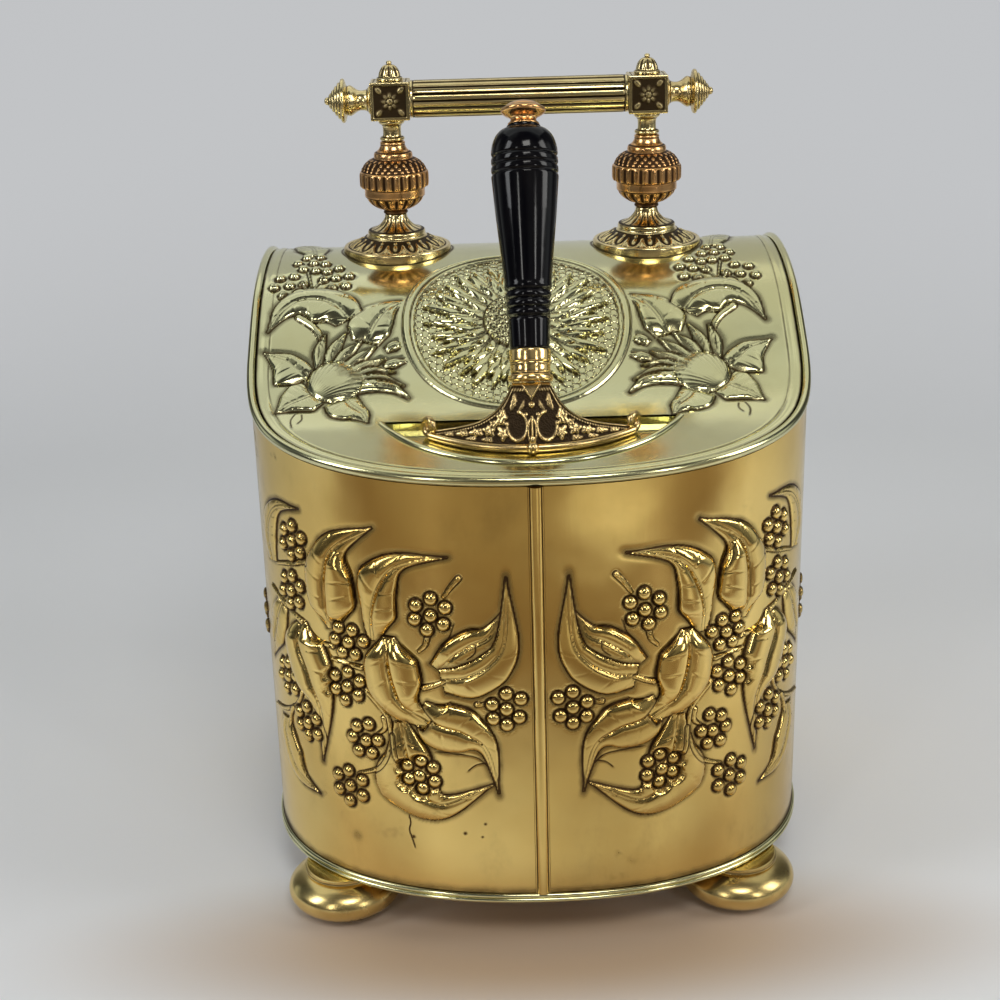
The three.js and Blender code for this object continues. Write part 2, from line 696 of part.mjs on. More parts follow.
// Sunflower in a ring: a circle of petals, each with a ridge, round a raised seed head.
function medallion() {
  const ringSteps = 14;
  const inner = MEDALLION_RADIUS - MEDALLION_RING;
  const ring = loft(range(ringSteps).map((i) => {
    const angle = (2 * Math.PI * i) / ringSteps;
    return [
      onMedallion(MEDALLION_RADIUS + 1, angle, -RAISED_ROOT),
      onMedallion(MEDALLION_RADIUS - MEDALLION_RING / 2, angle, MEDALLION_RING_RISE),
      onMedallion(inner - 1, angle, -RAISED_ROOT),
    ];
  }), true);
  // [radius on a petal's ridge, radius between petals, rise on the ridge, rise between]
  const tip = inner - 4;
  const levels = [
    [SEED_HEAD_RADIUS / 3, SEED_HEAD_RADIUS / 3, -RAISED_ROOT, -RAISED_ROOT],
    [SEED_HEAD_RADIUS, SEED_HEAD_RADIUS, -RAISED_ROOT, -RAISED_ROOT],
    [tip * 0.6, tip * 0.5, -RAISED_ROOT, -RAISED_ROOT],
    [tip, tip * 0.7, -RAISED_ROOT, -RAISED_ROOT],
    [tip * 0.62, tip * 0.5, LEAF_RISE, 0.8],
    [SEED_HEAD_RADIUS, SEED_HEAD_RADIUS, 1.2, 1.2],
    [SEED_HEAD_RADIUS * 0.7, SEED_HEAD_RADIUS * 0.7, 3.4, 3.4],
  ];
  const flower = loft(levels.map(([ridge, valley, ridgeRise, valleyRise]) =>
    range(2 * PETALS).map((i) => {
      const angle = (Math.PI * i) / PETALS;
      return i % 2 ? onMedallion(valley, angle, valleyRise) : onMedallion(ridge, angle, ridgeRise);
    })));
  return [ring, flower];
}

// The sprays to both sides of the medallion, the right one in mirror image.
function lidSprays() {
  return [-1, 1].flatMap((side) => {
    const place = (x, up, rise) =>
      onLid(side < 0 ? x : 2 * MEDALLION[0] - x, up, rise);
    return [
      ...LID_LEAVES.map((rib) => leaf(place, rib)),
      ...LID_BUNCHES.map((centre) => bunch(place, centre, BUNCH_RISE)),
      boss(place, THISTLE, THISTLE_RADIUS, THISTLE_RISE),
    ];
  });
}

function lidSheet() {
  const wide = HALF_WIDTH + 10;
  const blank = upright(planShape(LID_EDGE), BASE_HEIGHT, lidTop);
  const sheet = common(blank, across(lidBand(0, SHEET), -wide, wide));
  const rodHoles = [-1, 1].map((side) =>
    rod(ROD_RADIUS + FIT, BASE_HEIGHT, lidTop).translate(side * POST_HALF_SPAN, POST_Y, 0));
  const bare = cut(sheet, upright(slotShape(0), BASE_HEIGHT, lidTop), ...rodHoles);
  const outside = across(lidBand(BASE_HEIGHT, SHEET / 2), -wide, wide);
  const raised = [...medallion(), ...lidSprays()].map((form) => common(form, outside));
  return embossed(bare, raised);
}

// Wired edge, from the hinge's end round the front to its other end.
function lidRim() {
  const sides = 6;
  const hingeEnd = HINGE_HALF_LENGTH + 2;
  const around = (offset) => {
    const right = [...halfPlan(offset, SIDE_STEPS), new THREE.Vector2(hingeEnd, BACK_Y + offset)];
    return [...right.slice(1).reverse().map(mirrored), ...right];
  };
  const rings = range(sides).map((j) => {
    const angle = (2 * Math.PI * (j + 0.5)) / sides;
    return { points: around(RIM_OFFSET + RIM_RADIUS * Math.cos(angle)), lift: Math.sin(angle) };
  });
  const path = around(RIM_OFFSET);
  const sections = path.map((centre, i) => {
    const z = lidHeight(centre.y) - RIM_DROP;
    const reach = RIM_RADIUS / Math.cos(lidSlope(centre.y));
    return rings.map(({ points, lift }) =>
      new THREE.Vector3(points[i].x, points[i].y, z + reach * lift));
  });
  return loft(sections);
}

// Half-round bead that stiffens the slot's curved edge.
function slotBead() {
  const steps = 18;
  const sides = 6;
  const half = Math.acos((SLOT_RADIUS - SLOT_DEPTH) / SLOT_RADIUS);
  const sections = range(steps + 1).map((i) => {
    const angle = -Math.PI / 2 - half + (2 * half * i) / steps;
    return range(sides).map((j) => {
      const turn = (Math.PI * j) / (sides - 1);
      const radius = SLOT_RADIUS + SLOT_BEAD_RADIUS + SLOT_BEAD_RADIUS * Math.cos(turn);
      const x = radius * Math.cos(angle);
      const y = SLOT_CENTRE_Y + radius * Math.sin(angle);
      return new THREE.Vector3(x, y, lidHeight(y) + FIT + SLOT_BEAD_RADIUS * Math.sin(turn));
    });
  });
  return loft(sections);
}

// Recess under the slot: walls down from the lid and a floor that follows the lid's curve,
// with a slit that lets the scoop's blade through.
function slotTray() {
  const wide = SLOT_RADIUS + SHEET;
  const outer = upright(slotShape(-SHEET), BASE_HEIGHT, lidTop);
  const shell = common(outer, across(lidBand(-SHEET - FIT, TRAY_DEPTH + SHEET), -wide, wide));
  const hollow = common(
    upright(slotShape(0), BASE_HEIGHT, lidTop),
    across(lidBand(SHEET, TRAY_DEPTH), -wide, wide),
  );
  return cut(shell, hollow, bladeTrough(BLADE_CLEARANCE, 2 * TRAY_DEPTH, -3 * TRAY_DEPTH));
}

function lid() {
  add('lid_sheet', lidSheet(), lidBrass);
  add('lid_rim', lidRim(), lidBrass);
  add('slot_bead', slotBead(), lidBrass);
  add('slot_tray', slotTray(), lidBrass);
}

// ---- Carrying handle --------------------------------------------------------------------

const postZ = lidHeight(POST_Y);
const bore = ROD_RADIUS + FIT;

// Cast foot of a post: moulded disc, collar and concave neck, fitted to the lid's curve.
function postFoot() {
  const neck = POST_COLLAR_HEIGHT + 4.2;
  const hollow = POST_COLLAR_RADIUS - 2;
  const profile = [
    [POST_FOOT_RADIUS, -POST_FOOT_RADIUS / 2],
    [POST_FOOT_RADIUS, POST_FOOT_EDGE - 1],
    [POST_FOOT_RADIUS - 1, POST_FOOT_EDGE],
    [POST_FOOT_RADIUS - 3, POST_FOOT_EDGE],
    [POST_COLLAR_RADIUS + 3, POST_COLLAR_HEIGHT - 0.8],
    [POST_COLLAR_RADIUS, POST_COLLAR_HEIGHT],
    [POST_COLLAR_RADIUS, neck - 0.6],
    ...arc(hollow, POST_FOOT_TOP - 2, hollow - POST_NECK_RADIUS,
      POST_FOOT_TOP - 2 - neck, 270, 180, 3),
    [POST_NECK_RADIUS + 0.4, POST_FOOT_TOP - 1],
    [POST_NECK_RADIUS, POST_FOOT_TOP],
  ];
  const casting = turnedTube(profile, bore).translate(0, POST_Y, postZ);
  const under = across(lidBand(FIT, BASE_HEIGHT * 2), -POST_FOOT_RADIUS - 1, POST_FOOT_RADIUS + 1);
  return cut(casting, under).translate(0, -POST_Y, -postZ);
}

// Copper bulb: gadrooned bowl, plain band, gadrooned belly, dome and ring.
function postBulb() {
  const bottom = POST_FOOT_TOP + FIT;
  const bowlTop = bottom + 11.5;
  const bandTop = bowlTop + 6;
  const bellyTop = bandTop + 11;
  const ringBottom = bellyTop + 8;
  const ringRadius = 12.6;
  const profile = [
    [bore, bottom, 0],
    [POST_NECK_RADIUS + 1, bottom, 0],
    [POST_NECK_RADIUS + 1.3, bottom + 1.5, 0],
    [13.5, bottom + 4, 1],
    [18.4, bottom + 8.6, 1],
    [BULB_BAND_RADIUS - 0.8, bowlTop, 0],
    [BULB_BAND_RADIUS, bandTop, 0],
    [BULB_BELLY_RADIUS, bandTop + 1.6, 1],
    [BULB_BELLY_RADIUS, bellyTop - 1.2, 1],
    [BULB_BELLY_RADIUS - 0.8, bellyTop, 0],
    [19.2, bellyTop + 4, 0],
    [ringRadius + 0.6, ringBottom, 0],
    [ringRadius, ringBottom + 4, 0],
    [8.4, BULB_TOP - 3, 0],
    [STEM_RADIUS + 0.8, BULB_TOP, 0],
    [bore, BULB_TOP, 0],
  ];
  const sections = profile.map(([radius, height, lobed]) => range(2 * GADROONS).map((i) => {
    const angle = (Math.PI * i) / GADROONS;
    const reach = radius - (i % 2) * lobed * GADROON_DEPTH;
    return new THREE.Vector3(reach * Math.cos(angle), reach * Math.sin(angle), height);
  }));
  return loft(sections, true);
}

function postStem() {
  const bottom = BULB_TOP + FIT;
  const top = bottom + STEM_LENGTH;
  return turnedTube([
    [STEM_RADIUS + 0.6, bottom],
    [STEM_RING_RADIUS, bottom + 0.8],
    [STEM_RING_RADIUS, bottom + 2.2],
    [STEM_RADIUS, bottom + 3],
    [STEM_RADIUS, top - 3.6],
    [STEM_RING_RADIUS + 0.4, top - 1.2],
    [STEM_RING_RADIUS + 0.4, top],
  ], bore, SMALL_ROUND);
}

// Cube with a sunk field on its front and back, bored from below for the rod.
function postCube() {
  const cube = new THREE.BoxGeometry(CUBE_WIDTH, CUBE, CUBE);
  const fieldWidth = CUBE_WIDTH - 2 * CUBE_BORDER;
  const fieldHeight = CUBE - 2 * CUBE_BORDER;
  const fields = [-1, 1].map((side) =>
    new THREE.BoxGeometry(fieldWidth, 2 * CUBE_FIELD_DEPTH, fieldHeight)
      .translate(0, (side * CUBE) / 2, 0));
  const socket = rod(bore, -CUBE, -CUBE / 2 + 9);
  return cut(cube, ...fields, socket).translate(0, 0, CUBE_BOTTOM + CUBE / 2);
}

function topFinial() {
  const bottom = CUBE_BOTTOM + CUBE + FIT;
  const dome = bottom + 3;
  const knob = bottom + TOP_FINIAL_HEIGHT - 3;
  return turned([
    [0, bottom],
    [TOP_FINIAL_RADIUS, bottom],
    [TOP_FINIAL_RADIUS, bottom + 1.6],
    [TOP_FINIAL_RADIUS - 1.2, dome],
    ...arc(2, dome, TOP_FINIAL_RADIUS - 3.4, knob - dome, 0, 80, 3),
    [2, knob + 0.6],
    [1.8, knob + 2.4],
    [0, knob + 3],
  ], SMALL_ROUND);
}

// Side finial, turned along the bar: neck, cup, flange and stepped cone.
function sideFinial() {
  const start = FIT;
  const flange = SIDE_FINIAL_LENGTH - 13;
  return turned([
    [0, start],
    [9.2, start],
    [7, start + 3],
    [6.5, start + 8],
    [9.6, flange - 4.4],
    [10, flange - 1.8],
    [SIDE_FINIAL_RADIUS, flange],
    [SIDE_FINIAL_RADIUS, flange + 1.8],
    [11.6, flange + 3.4],
    [8, flange + 6],
    [3.4, flange + 10],
    [2.4, SIDE_FINIAL_LENGTH - 1],
    [0, SIDE_FINIAL_LENGTH],
  ], SMALL_ROUND);
}

// Reeded bar between the cubes.
function handleBar() {
  const length = 2 * POST_HALF_SPAN - CUBE_WIDTH - 2 * FIT;
  const perReed = 4;
  const outline = range(REEDS * perReed).map((i) => {
    const angle = (2 * Math.PI * i) / (REEDS * perReed);
    const radius = BAR_RADIUS - REED_DEPTH * (1 - Math.abs(Math.sin((REEDS * angle) / 2)));
    return new THREE.Vector2(radius * Math.cos(angle), radius * Math.sin(angle));
  });
  return upright(new THREE.Shape(outline), -length / 2, length / 2).rotateY(Math.PI / 2);
}

function handle() {
  const cubeCentre = postZ + CUBE_BOTTOM + CUBE / 2;
  const washerTop = -(SHEET + FIT) / Math.cos(lidSlope(POST_Y)) - FIT
    - WASHER_RADIUS * Math.abs(Math.tan(lidSlope(POST_Y)));
  const nutTop = washerTop - WASHER_THICKNESS - FIT;
  const rodBottom = nutTop - ROD_NUT_HEIGHT - 3;
  for (const side of [-1, 1]) {
    const hand = side < 0 ? 'left' : 'right';
    const post = new THREE.Group();
    post.position.set(side * POST_HALF_SPAN, POST_Y, postZ);
    group.add(post);
    add(`post_foot_${hand}`, postFoot(), turnedBrass, post);
    add(`post_bulb_${hand}`, postBulb(), copper, post);
    add(`post_stem_${hand}`, postStem(), turnedBrass, post);
    add(`post_cube_${hand}`, postCube(), turnedBrass, post);
    add(`top_finial_${hand}`, topFinial(), turnedBrass, post);
    add(`post_rod_${hand}`, rod(ROD_RADIUS, rodBottom, CUBE_BOTTOM + 8.5, 12), steel, post);
    const washerProfile = [[WASHER_RADIUS, -WASHER_THICKNESS], [WASHER_RADIUS, 0]];
    const washer = turnedTube(washerProfile, bore, SMALL_ROUND);
    add(`post_washer_${hand}`, washer, steel, post).position.z = washerTop;
    const nut = hexNut(ROD_NUT_FLATS, bore, ROD_NUT_HEIGHT);
    add(`post_nut_${hand}`, nut, steel, post).position.z = nutTop - ROD_NUT_HEIGHT;
    const finial = sideFinial().rotateY((side * Math.PI) / 2);
    add(`side_finial_${hand}`, finial, turnedBrass)
      .position.set(side * (POST_HALF_SPAN + CUBE_WIDTH / 2), POST_Y, cubeCentre);
  }
  add('handle_bar', handleBar(), turnedBrass).position.set(0, POST_Y, cubeCentre);
}

// ---- Scoop ------------------------------------------------------------------------------

const mountY = SLOT_CROWN_Y + MOUNT_FROM_SLOT;
const mountZ = lidHeight(mountY) - TRAY_DEPTH + FIT + MOUNT_RIM_RADIUS;
const lean = degrees(HANDLE_LEAN);
const handleAxis = new THREE.Vector3(0, Math.sin(lean), Math.cos(lean));
const mountBack = (x) => MOUNT_RADIUS - Math.sqrt(MOUNT_RADIUS ** 2 - x ** 2);

// Centre of the mount's rim at x: an arc that lies on the floor of the recess.
function rimPoint(x) {
  const y = mountY + mountBack(x);
  return new THREE.Vector3(x, y, lidHeight(y) - TRAY_DEPTH + FIT + MOUNT_RIM_RADIUS);
}

// Square to the arc, seen from above, towards its centre.
function inward(x) {
  return new THREE.Vector3(-x / MOUNT_RADIUS, Math.sqrt(1 - (x / MOUNT_RADIUS) ** 2), 0);
}

// Cast mount: a round rim with scrolled ends on the floor of the recess, and a fan-shaped
// shell that rises from it along the handle, with hollow upper edges, to the ferrule.
function scoopMount() {
  const steps = 26;
  const shellHalf = MOUNT_HALF_WIDTH - 2;
  const shell = range(steps + 1).map((i) => {
    const share = -1 + (2 * i) / steps;
    const x = shellHalf * Math.sign(share) * Math.abs(share) ** 1.5;
    const beyondNeck = Math.max(0, Math.abs(x) - MOUNT_NECK_HALF);
    const edge = MOUNT_EDGE_HEIGHT
      + (MOUNT_HEIGHT - MOUNT_EDGE_HEIGHT) * Math.exp(-beyondNeck / 9.5);
    const height = edge - 0.6 * mountBack(x);
    const squareTop = (MOUNT_SHELL / 2) * inward(x).dot(handleAxis);
    return [[-1, 0], [-1, 1], [1, 1], [1, 0]].map(([face, isTop]) =>
      rimPoint(x)
        .addScaledVector(inward(x), (face * MOUNT_SHELL) / 2)
        .addScaledVector(handleAxis, isTop * (height - face * squareTop)));
  });
  const rim = range(21).map((i) => rimPoint(MOUNT_HALF_WIDTH * (-1 + i / 10)));
  const scroll = (side) => range(5).map((i) => {
    const turn = degrees(50 * (i + 1));
    return rimPoint(side * MOUNT_HALF_WIDTH).add(new THREE.Vector3(
      side * 0.55 * SCROLL_RADIUS * Math.sin(turn),
      0.8 * SCROLL_RADIUS * Math.sin(turn),
      SCROLL_RADIUS * (1 - Math.cos(turn)),
    ));
  });
  const path = new THREE.CatmullRomCurve3([...scroll(-1).reverse(), ...rim, ...scroll(1)]);
  const section = new THREE.Shape().absarc(0, 0, MOUNT_RIM_RADIUS, 0, 2 * Math.PI);
  const settings = { steps: 24, bevelEnabled: false, extrudePath: path, curveSegments: 2 };
  return join(loft(shell), new THREE.ExtrudeGeometry(section, settings));
}

// The blade's curved section, thickened by `clearance` all round, from `top` down to
// `bottom` square to the lid, heights measured from the mount's rim.
function bladeTrough(clearance, top, bottom, lipRound = 0) {
  const steps = 16;
  const slope = lidSlope(mountY);
  const normal = new THREE.Vector3(0, -Math.sin(slope), Math.cos(slope));
  const half = BLADE_HALF_WIDTH + clearance;
  const thickness = SHEET / 2 + clearance;
  return loft(range(steps + 1).map((i) => {
    const x = half * (-1 + (2 * i) / steps);
    const lip = bottom + lipRound * Math.abs(x / half) ** 3;
    return [[-1, top], [1, top], [1, lip], [-1, lip]].map(([face, height]) =>
      new THREE.Vector3(x, mountY + mountBack(x), mountZ)
        .addScaledVector(inward(x), face * thickness)
        .addScaledVector(normal, height + Math.sin(slope) * mountBack(x)));
  }));
}

// Curved blade with a rounded lip, hanging from the mount's rim into the box.
function scoopBlade() {
  const top = -MOUNT_RIM_RADIUS - FIT;
  return bladeTrough(0, top, top - BLADE_LENGTH, BLADE_LIP);
}

const ferruleBottom = MOUNT_HEIGHT + FIT;
const gripBottom = ferruleBottom + FERRULE_LENGTH + FIT;
const gripTop = gripBottom + GRIP_LENGTH;
const tangBore = TANG_RADIUS + FIT;

function ferrule() {
  const top = ferruleBottom + FERRULE_LENGTH;
  return turnedTube([
    [FERRULE_FLANGE_RADIUS - 0.6, ferruleBottom],
    [FERRULE_FLANGE_RADIUS, ferruleBottom + 1.2],
    [FERRULE_FLANGE_RADIUS, ferruleBottom + 3.4],
    [FERRULE_RADIUS - 0.6, ferruleBottom + 4.4],
    [FERRULE_RADIUS - 0.6, ferruleBottom + 10],
    [FERRULE_RADIUS, ferruleBottom + 11],
    [FERRULE_RADIUS, top],
  ], tangBore);
}

// Turned grooves up the grip from `bottom`, on a radius that goes from `first` to `last`.
function grooves(bottom, count, first, last) {
  return range(count).flatMap((i) => {
    const height = bottom + GROOVE_PITCH * i;
    const radius = first + ((last - first) * i) / (count - 1);
    return [[radius, height], [radius - GROOVE_DEPTH, height + GROOVE_WIDTH / 2],
      [radius, height + GROOVE_WIDTH]];
  });
}

function grip() {
  const shoulder = gripTop - 16.5;
  const lower = gripBottom + 18.5;
  const upper = shoulder - 12;
  return turnedTube([
    [GRIP_SLIM_RADIUS, gripBottom],
    ...grooves(lower, 4, GRIP_SLIM_RADIUS + 0.8, GRIP_SLIM_RADIUS + 1.8),
    [(GRIP_SLIM_RADIUS + GRIP_FULL_RADIUS) / 2 + 0.8, (lower + 3 * GROOVE_PITCH + upper) / 2],
    ...grooves(upper, 3, GRIP_FULL_RADIUS, GRIP_FULL_RADIUS - 0.3),
    ...arc(9.4, shoulder, GRIP_FULL_RADIUS - 9.8, gripTop - shoulder, 0, 90, 3),
  ], tangBore);
}

function endButton() {
  const bottom = gripTop + FIT;
  return turned([
    [0, bottom],
    [9, bottom],
    [9, bottom + 1],
    [7.8, bottom + 2.4],
    [8, bottom + 4.6],
    [BUTTON_RADIUS - 1, bottom + 7.2],
    [BUTTON_RADIUS, bottom + 8.6],
    [BUTTON_RADIUS - 1.2, bottom + 10.6],
    [7, bottom + BUTTON_LENGTH - 1],
    [0, bottom + BUTTON_LENGTH],
  ]);
}

function scoop() {
  add('scoop_blade', scoopBlade(), wallBrass);
  add('scoop_mount', scoopMount(), bronze);
  const carried = new THREE.Group();
  carried.position.set(0, mountY, mountZ);
  carried.rotation.x = -lean;
  group.add(carried);
  add('scoop_ferrule', ferrule(), turnedBrass, carried);
  add('scoop_grip', grip(), ebony, carried);
  add('scoop_end_button', endButton(), copper, carried);
  add('scoop_tang', rod(TANG_RADIUS, ferruleBottom, gripTop, 12), steel, carried);
}

box();
hinge();
lid();
handle();
scoop();

// The origin is on the floor, under the middle of the whole object.
group.updateMatrixWorld(true);
const bounds = new THREE.Box3().setFromObject(group, true);
group.position.set(0, -(bounds.min.y + bounds.max.y) / 2, 0);

export default group;
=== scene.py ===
import math

import bpy
import numpy as np
from mathutils import Matrix


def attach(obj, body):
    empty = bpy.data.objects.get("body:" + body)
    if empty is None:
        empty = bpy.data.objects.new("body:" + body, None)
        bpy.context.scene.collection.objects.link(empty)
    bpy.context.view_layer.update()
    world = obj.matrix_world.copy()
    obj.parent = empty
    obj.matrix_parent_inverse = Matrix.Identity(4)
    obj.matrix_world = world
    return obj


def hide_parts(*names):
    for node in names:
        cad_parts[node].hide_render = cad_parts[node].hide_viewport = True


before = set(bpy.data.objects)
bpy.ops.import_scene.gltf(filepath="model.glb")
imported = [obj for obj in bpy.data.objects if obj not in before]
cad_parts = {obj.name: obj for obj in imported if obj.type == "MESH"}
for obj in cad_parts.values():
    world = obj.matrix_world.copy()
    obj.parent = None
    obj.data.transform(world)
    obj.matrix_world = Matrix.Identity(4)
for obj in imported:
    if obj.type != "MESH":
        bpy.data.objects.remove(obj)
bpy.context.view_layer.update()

# Lengths are millimetres until a piece is made. y counts from where the straight sides start
# to bow, and the whole object lies MIDDLE behind that in the frame.
MIDDLE = -32.35

HALF_WIDTH = 172.0
BOW_DEPTH = 136.0
BOW_POWER = 2.27
SIDE_LENGTH = 196.0
CORNER_RADIUS = 20.0
SIDE_END = SIDE_LENGTH - CORNER_RADIUS
SHEET = 1.2
WALL_BOTTOM = 36.5
PANEL_STEP = 0.7
PANEL_REACH = 173.75
FRONT_REACH = 2.9
LEVEL_TOP = 280
RIM_OFFSET = -0.6
RIM_RADIUS = 3.0
RIM_FLAT = 0.87
HINGE_END = 132.0
BASE_BOTTOM = 30
BASE_WIRE = 6.2 / 4
BASE_OUT = 1.8
LID_EDGE = -3.9
LID_FRONT = 304.5
FRONT_SLOPE = 0.1
OGEE_RISE = 56
OGEE_MIDDLE = 5
OGEE_LENGTH = 22.6
CREST = 58
BACK_FALL = 41.8
SLOT_CENTRE_Y = -14.6
SLOT_RADIUS = 98.0
SLOT_BACK_Y = -58.6
SLOT_SPAN = 54
TRAY_DEPTH = 6.0
POST_X = 84.0
POST_Y = 113.0
CUBE_WIDTH = 25.6
CUBE = 24.4
CUBE_BOTTOM = 87.1
MOUNT_Y = -88.8
MOUNT_RADIUS = 102.0
MOUNT_WIRE = 2.6
FIT_GAP = 0.3
LEAN = math.radians(22)
FAR = 1e9
PINHOLE = 0.02
BLACK = (0.0, 0.0, 0.0)

# ---- Camera -------------------------------------------------------------------------------


def turned_to(right, up, back, spot):
    """Matrix of something whose three axes and place are given."""
    return Matrix([(right[i], up[i], back[i], spot[i]) for i in range(3)] + [(0, 0, 0, 1)])


def place_camera():
    """Where the photograph was taken from."""
    camera = bpy.data.objects.new("camera", bpy.data.cameras.new("camera"))
    camera.matrix_world = turned_to(
        right=(0.9996036, -0.0108539, -0.0259782),
        up=(0.0281367, 0.3523875, 0.9354311),
        back=(-0.00099869, -0.93579, 0.35255),
        spot=(-0.02081, -1.05441, 0.62690),
    )
    camera.data.lens = 61.2
    camera.data.sensor_width = 36
    bpy.context.collection.objects.link(camera)
    bpy.context.scene.camera = camera


# ---- Meshes -------------------------------------------------------------------------------


class Skin:
    """Grids of points joined into one mesh, each point with its marks between 0 and 1."""

    MARKS = ("hollow", "raised", "stipple")
    CREASE = math.radians(38)
    FLAT_EDGES = (0.004, 0.996)

    def __init__(self):
        self.points, self.faces, self.marks, self.flat = [], [], [], []
        self.count = 0

    def grid(self, points, flip=False, close_u=False, close_v=False, band=None, **marks):
        """points[row, column] is joined to its neighbours, and round where closed. An open grid
        can be laid out flat, on the band from one height of a flat pattern to another."""
        points = np.asarray(points, float)
        rows, columns = points.shape[:2]
        number = np.arange(rows * columns).reshape(rows, columns) + self.count
        if close_u:
            number = np.hstack([number, number[:, :1]])
        if close_v:
            number = np.vstack([number, number[:1]])
        a, b = number[:-1, :-1].ravel(), number[:-1, 1:].ravel()
        c, d = number[1:, 1:].ravel(), number[1:, :-1].ravel()
        self.faces.append(np.stack([d, c, b, a] if flip else [a, b, c, d], 1))
        self.points.append(points.reshape(-1, 3))
        if band:
            across, up = np.meshgrid(np.linspace(*self.FLAT_EDGES, columns), np.linspace(*band, rows))
            self.flat.append(np.stack([across, up], -1).reshape(-1, 2))
        self.marks.append(
            {name: np.broadcast_to(value, (rows, columns)).ravel() for name, value in marks.items()}
        )
        self.count += rows * columns
        return self

    def sheet(self, front, back, every_row, every_column, flip=False, **marks):
        """A worked front, a plain back with only some of its rows and columns, and the four
        edges between them."""
        self.grid(front, flip=flip, band=(0.25, 0.996), **marks)
        rows, columns = (
            np.unique(np.r_[np.arange(0, size, step), size - 1])
            for size, step in zip(back.shape, (every_row, every_column))
        )
        self.grid(back[rows][:, columns], flip=not flip, band=(0.004, 0.19))
        for one, other, facing, low in (
            (front[0], back[0], not flip, 0.20),
            (back[-1], front[-1], not flip, 0.21),
            (front[:, 0], back[:, 0], flip, 0.22),
            (back[:, -1], front[:, -1], flip, 0.23),
        ):
            self.grid(np.stack([one, other]), flip=facing, band=(low, low + 0.005))
        return self

    def piece(self, name, body, material, slot, *replaced, moved=None, drop=None):
        """Makes the object. drop(points) says which faces to leave out, by their middles."""
        points = np.concatenate(self.points)
        faces = np.concatenate(self.faces)
        if drop is not None:
            faces = faces[~drop(points[faces].mean(1))]
        if moved is not None:
            points = moved(points)
        mesh = bpy.data.meshes.new(name)
        mesh.vertices.add(len(points))
        mesh.vertices.foreach_set("co", in_frame(points).ravel().astype(np.float32))
        mesh.loops.add(faces.size)
        mesh.loops.foreach_set("vertex_index", faces.ravel().astype(np.int32))
        mesh.polygons.add(len(faces))
        mesh.polygons.foreach_set("loop_start", np.arange(0, faces.size, 4, dtype=np.int32))
        for mark in self.MARKS:
            values = np.concatenate(
                [m.get(mark, np.zeros(len(p))) for m, p in zip(self.marks, self.points)]
            )
            if values.any():
                layer = mesh.attributes.new(mark, "FLOAT", "POINT")
                layer.data.foreach_set("value", np.clip(values, 0, 1).astype(np.float32))
        mesh.update(calc_edges=True)
        mesh.validate()
        if self.flat:
            corner = np.empty(len(mesh.loops), np.int32)
            mesh.loops.foreach_get("vertex_index", corner)
            flat = np.concatenate(self.flat)[corner].astype(np.float32)
            mesh.uv_layers.new(name="OFBake").data.foreach_set("uv", flat.ravel())
        mesh.shade_smooth()
        mesh.set_sharp_from_angle(angle=self.CREASE)
        mesh.materials.append(material)
        made = bpy.data.objects.new(name, mesh)
        bpy.context.collection.objects.link(made)
        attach(made, body)
        if replaced:
            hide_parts(*replaced)


def stacked(x, y, z):
    return np.stack(np.broadcast_arrays(x, y, z), -1)


def in_frame(points):
    """From millimetres here to metres in the frame."""
    return (points + np.array([0, MIDDLE, 0])) * 0.001


def stations(*spans):
    """Places along a line from (start, end, spacing) spans that follow each other."""
    parts = [np.linspace(a, b, max(2, round(abs(b - a) / step) + 1))[:-1] for a, b, step in spans]
    return np.concatenate(parts + [[spans[-1][1]]])


def flowing(points, count):
    """A smooth line through points, by Catmull-Rom, as count places."""
    points = np.asarray(points, float)
    padded = np.vstack([2 * points[0] - points[1], points, 2 * points[-1] - points[-2]])
    at = np.linspace(0, len(points) - 1, count)
    i = np.minimum(at.astype(int), len(points) - 2)
    t = (at - i)[:, None]
    p0, p1, p2, p3 = (padded[i + k] for k in range(4))
    return 0.5 * (
        2 * p1 + (p2 - p0) * t + (2 * p0 - 5 * p1 + 4 * p2 - p3) * t**2
        + (3 * p1 - p0 - 3 * p2 + p3) * t**3
    )


def soften(profile, rounds):
    """A turned profile with its corners cut off, as often as rounds says."""
    line = np.asarray(profile, float)
    for _ in range(rounds):
        cut = np.stack([0.8 * line[:-1] + 0.2 * line[1:], 0.2 * line[:-1] + 0.8 * line[1:]], 1)
        line = np.vstack([line[:1], cut.reshape(-1, 2), line[-1:]])
    return line


def evenly(line, spacing):
    """The same line with its points about as far apart as spacing."""
    length = np.r_[0, np.cumsum(np.hypot(*np.diff(line, axis=0).T))]
    at = np.linspace(0, length[-1], max(3, round(length[-1] / spacing) + 1))
    return np.stack([np.interp(at, length, line[:, k]) for k in range(2)], 1)


def turned(profile, segments, spacing, rounds):
    """Angle, height and radius over a surface that [radius, height] pairs turn about +Z."""
    line = evenly(soften(profile, rounds), spacing)
    angle = np.arange(segments) * 2 * math.pi / segments
    radius, _ = np.broadcast_arrays(np.maximum(line[:, :1], PINHOLE), angle)
    height, turn = np.broadcast_arrays(line[:, 1:], angle)
    return turn, height, radius


def lathe(skin, profile, segments, spacing, rounds, carve=None):
    """A turned surface. carve(angle, height, radius) returns what it adds to the radius, and a
    dict of marks."""
    turn, height, radius = turned(profile, segments, spacing, rounds)
    marks = {}
    if carve is not None:
        more, marks = carve(turn, height, radius)
        radius = radius + more
    points = stacked(radius * np.cos(turn), radius * np.sin(turn), height)
    return skin.grid(points, close_u=True, **marks)


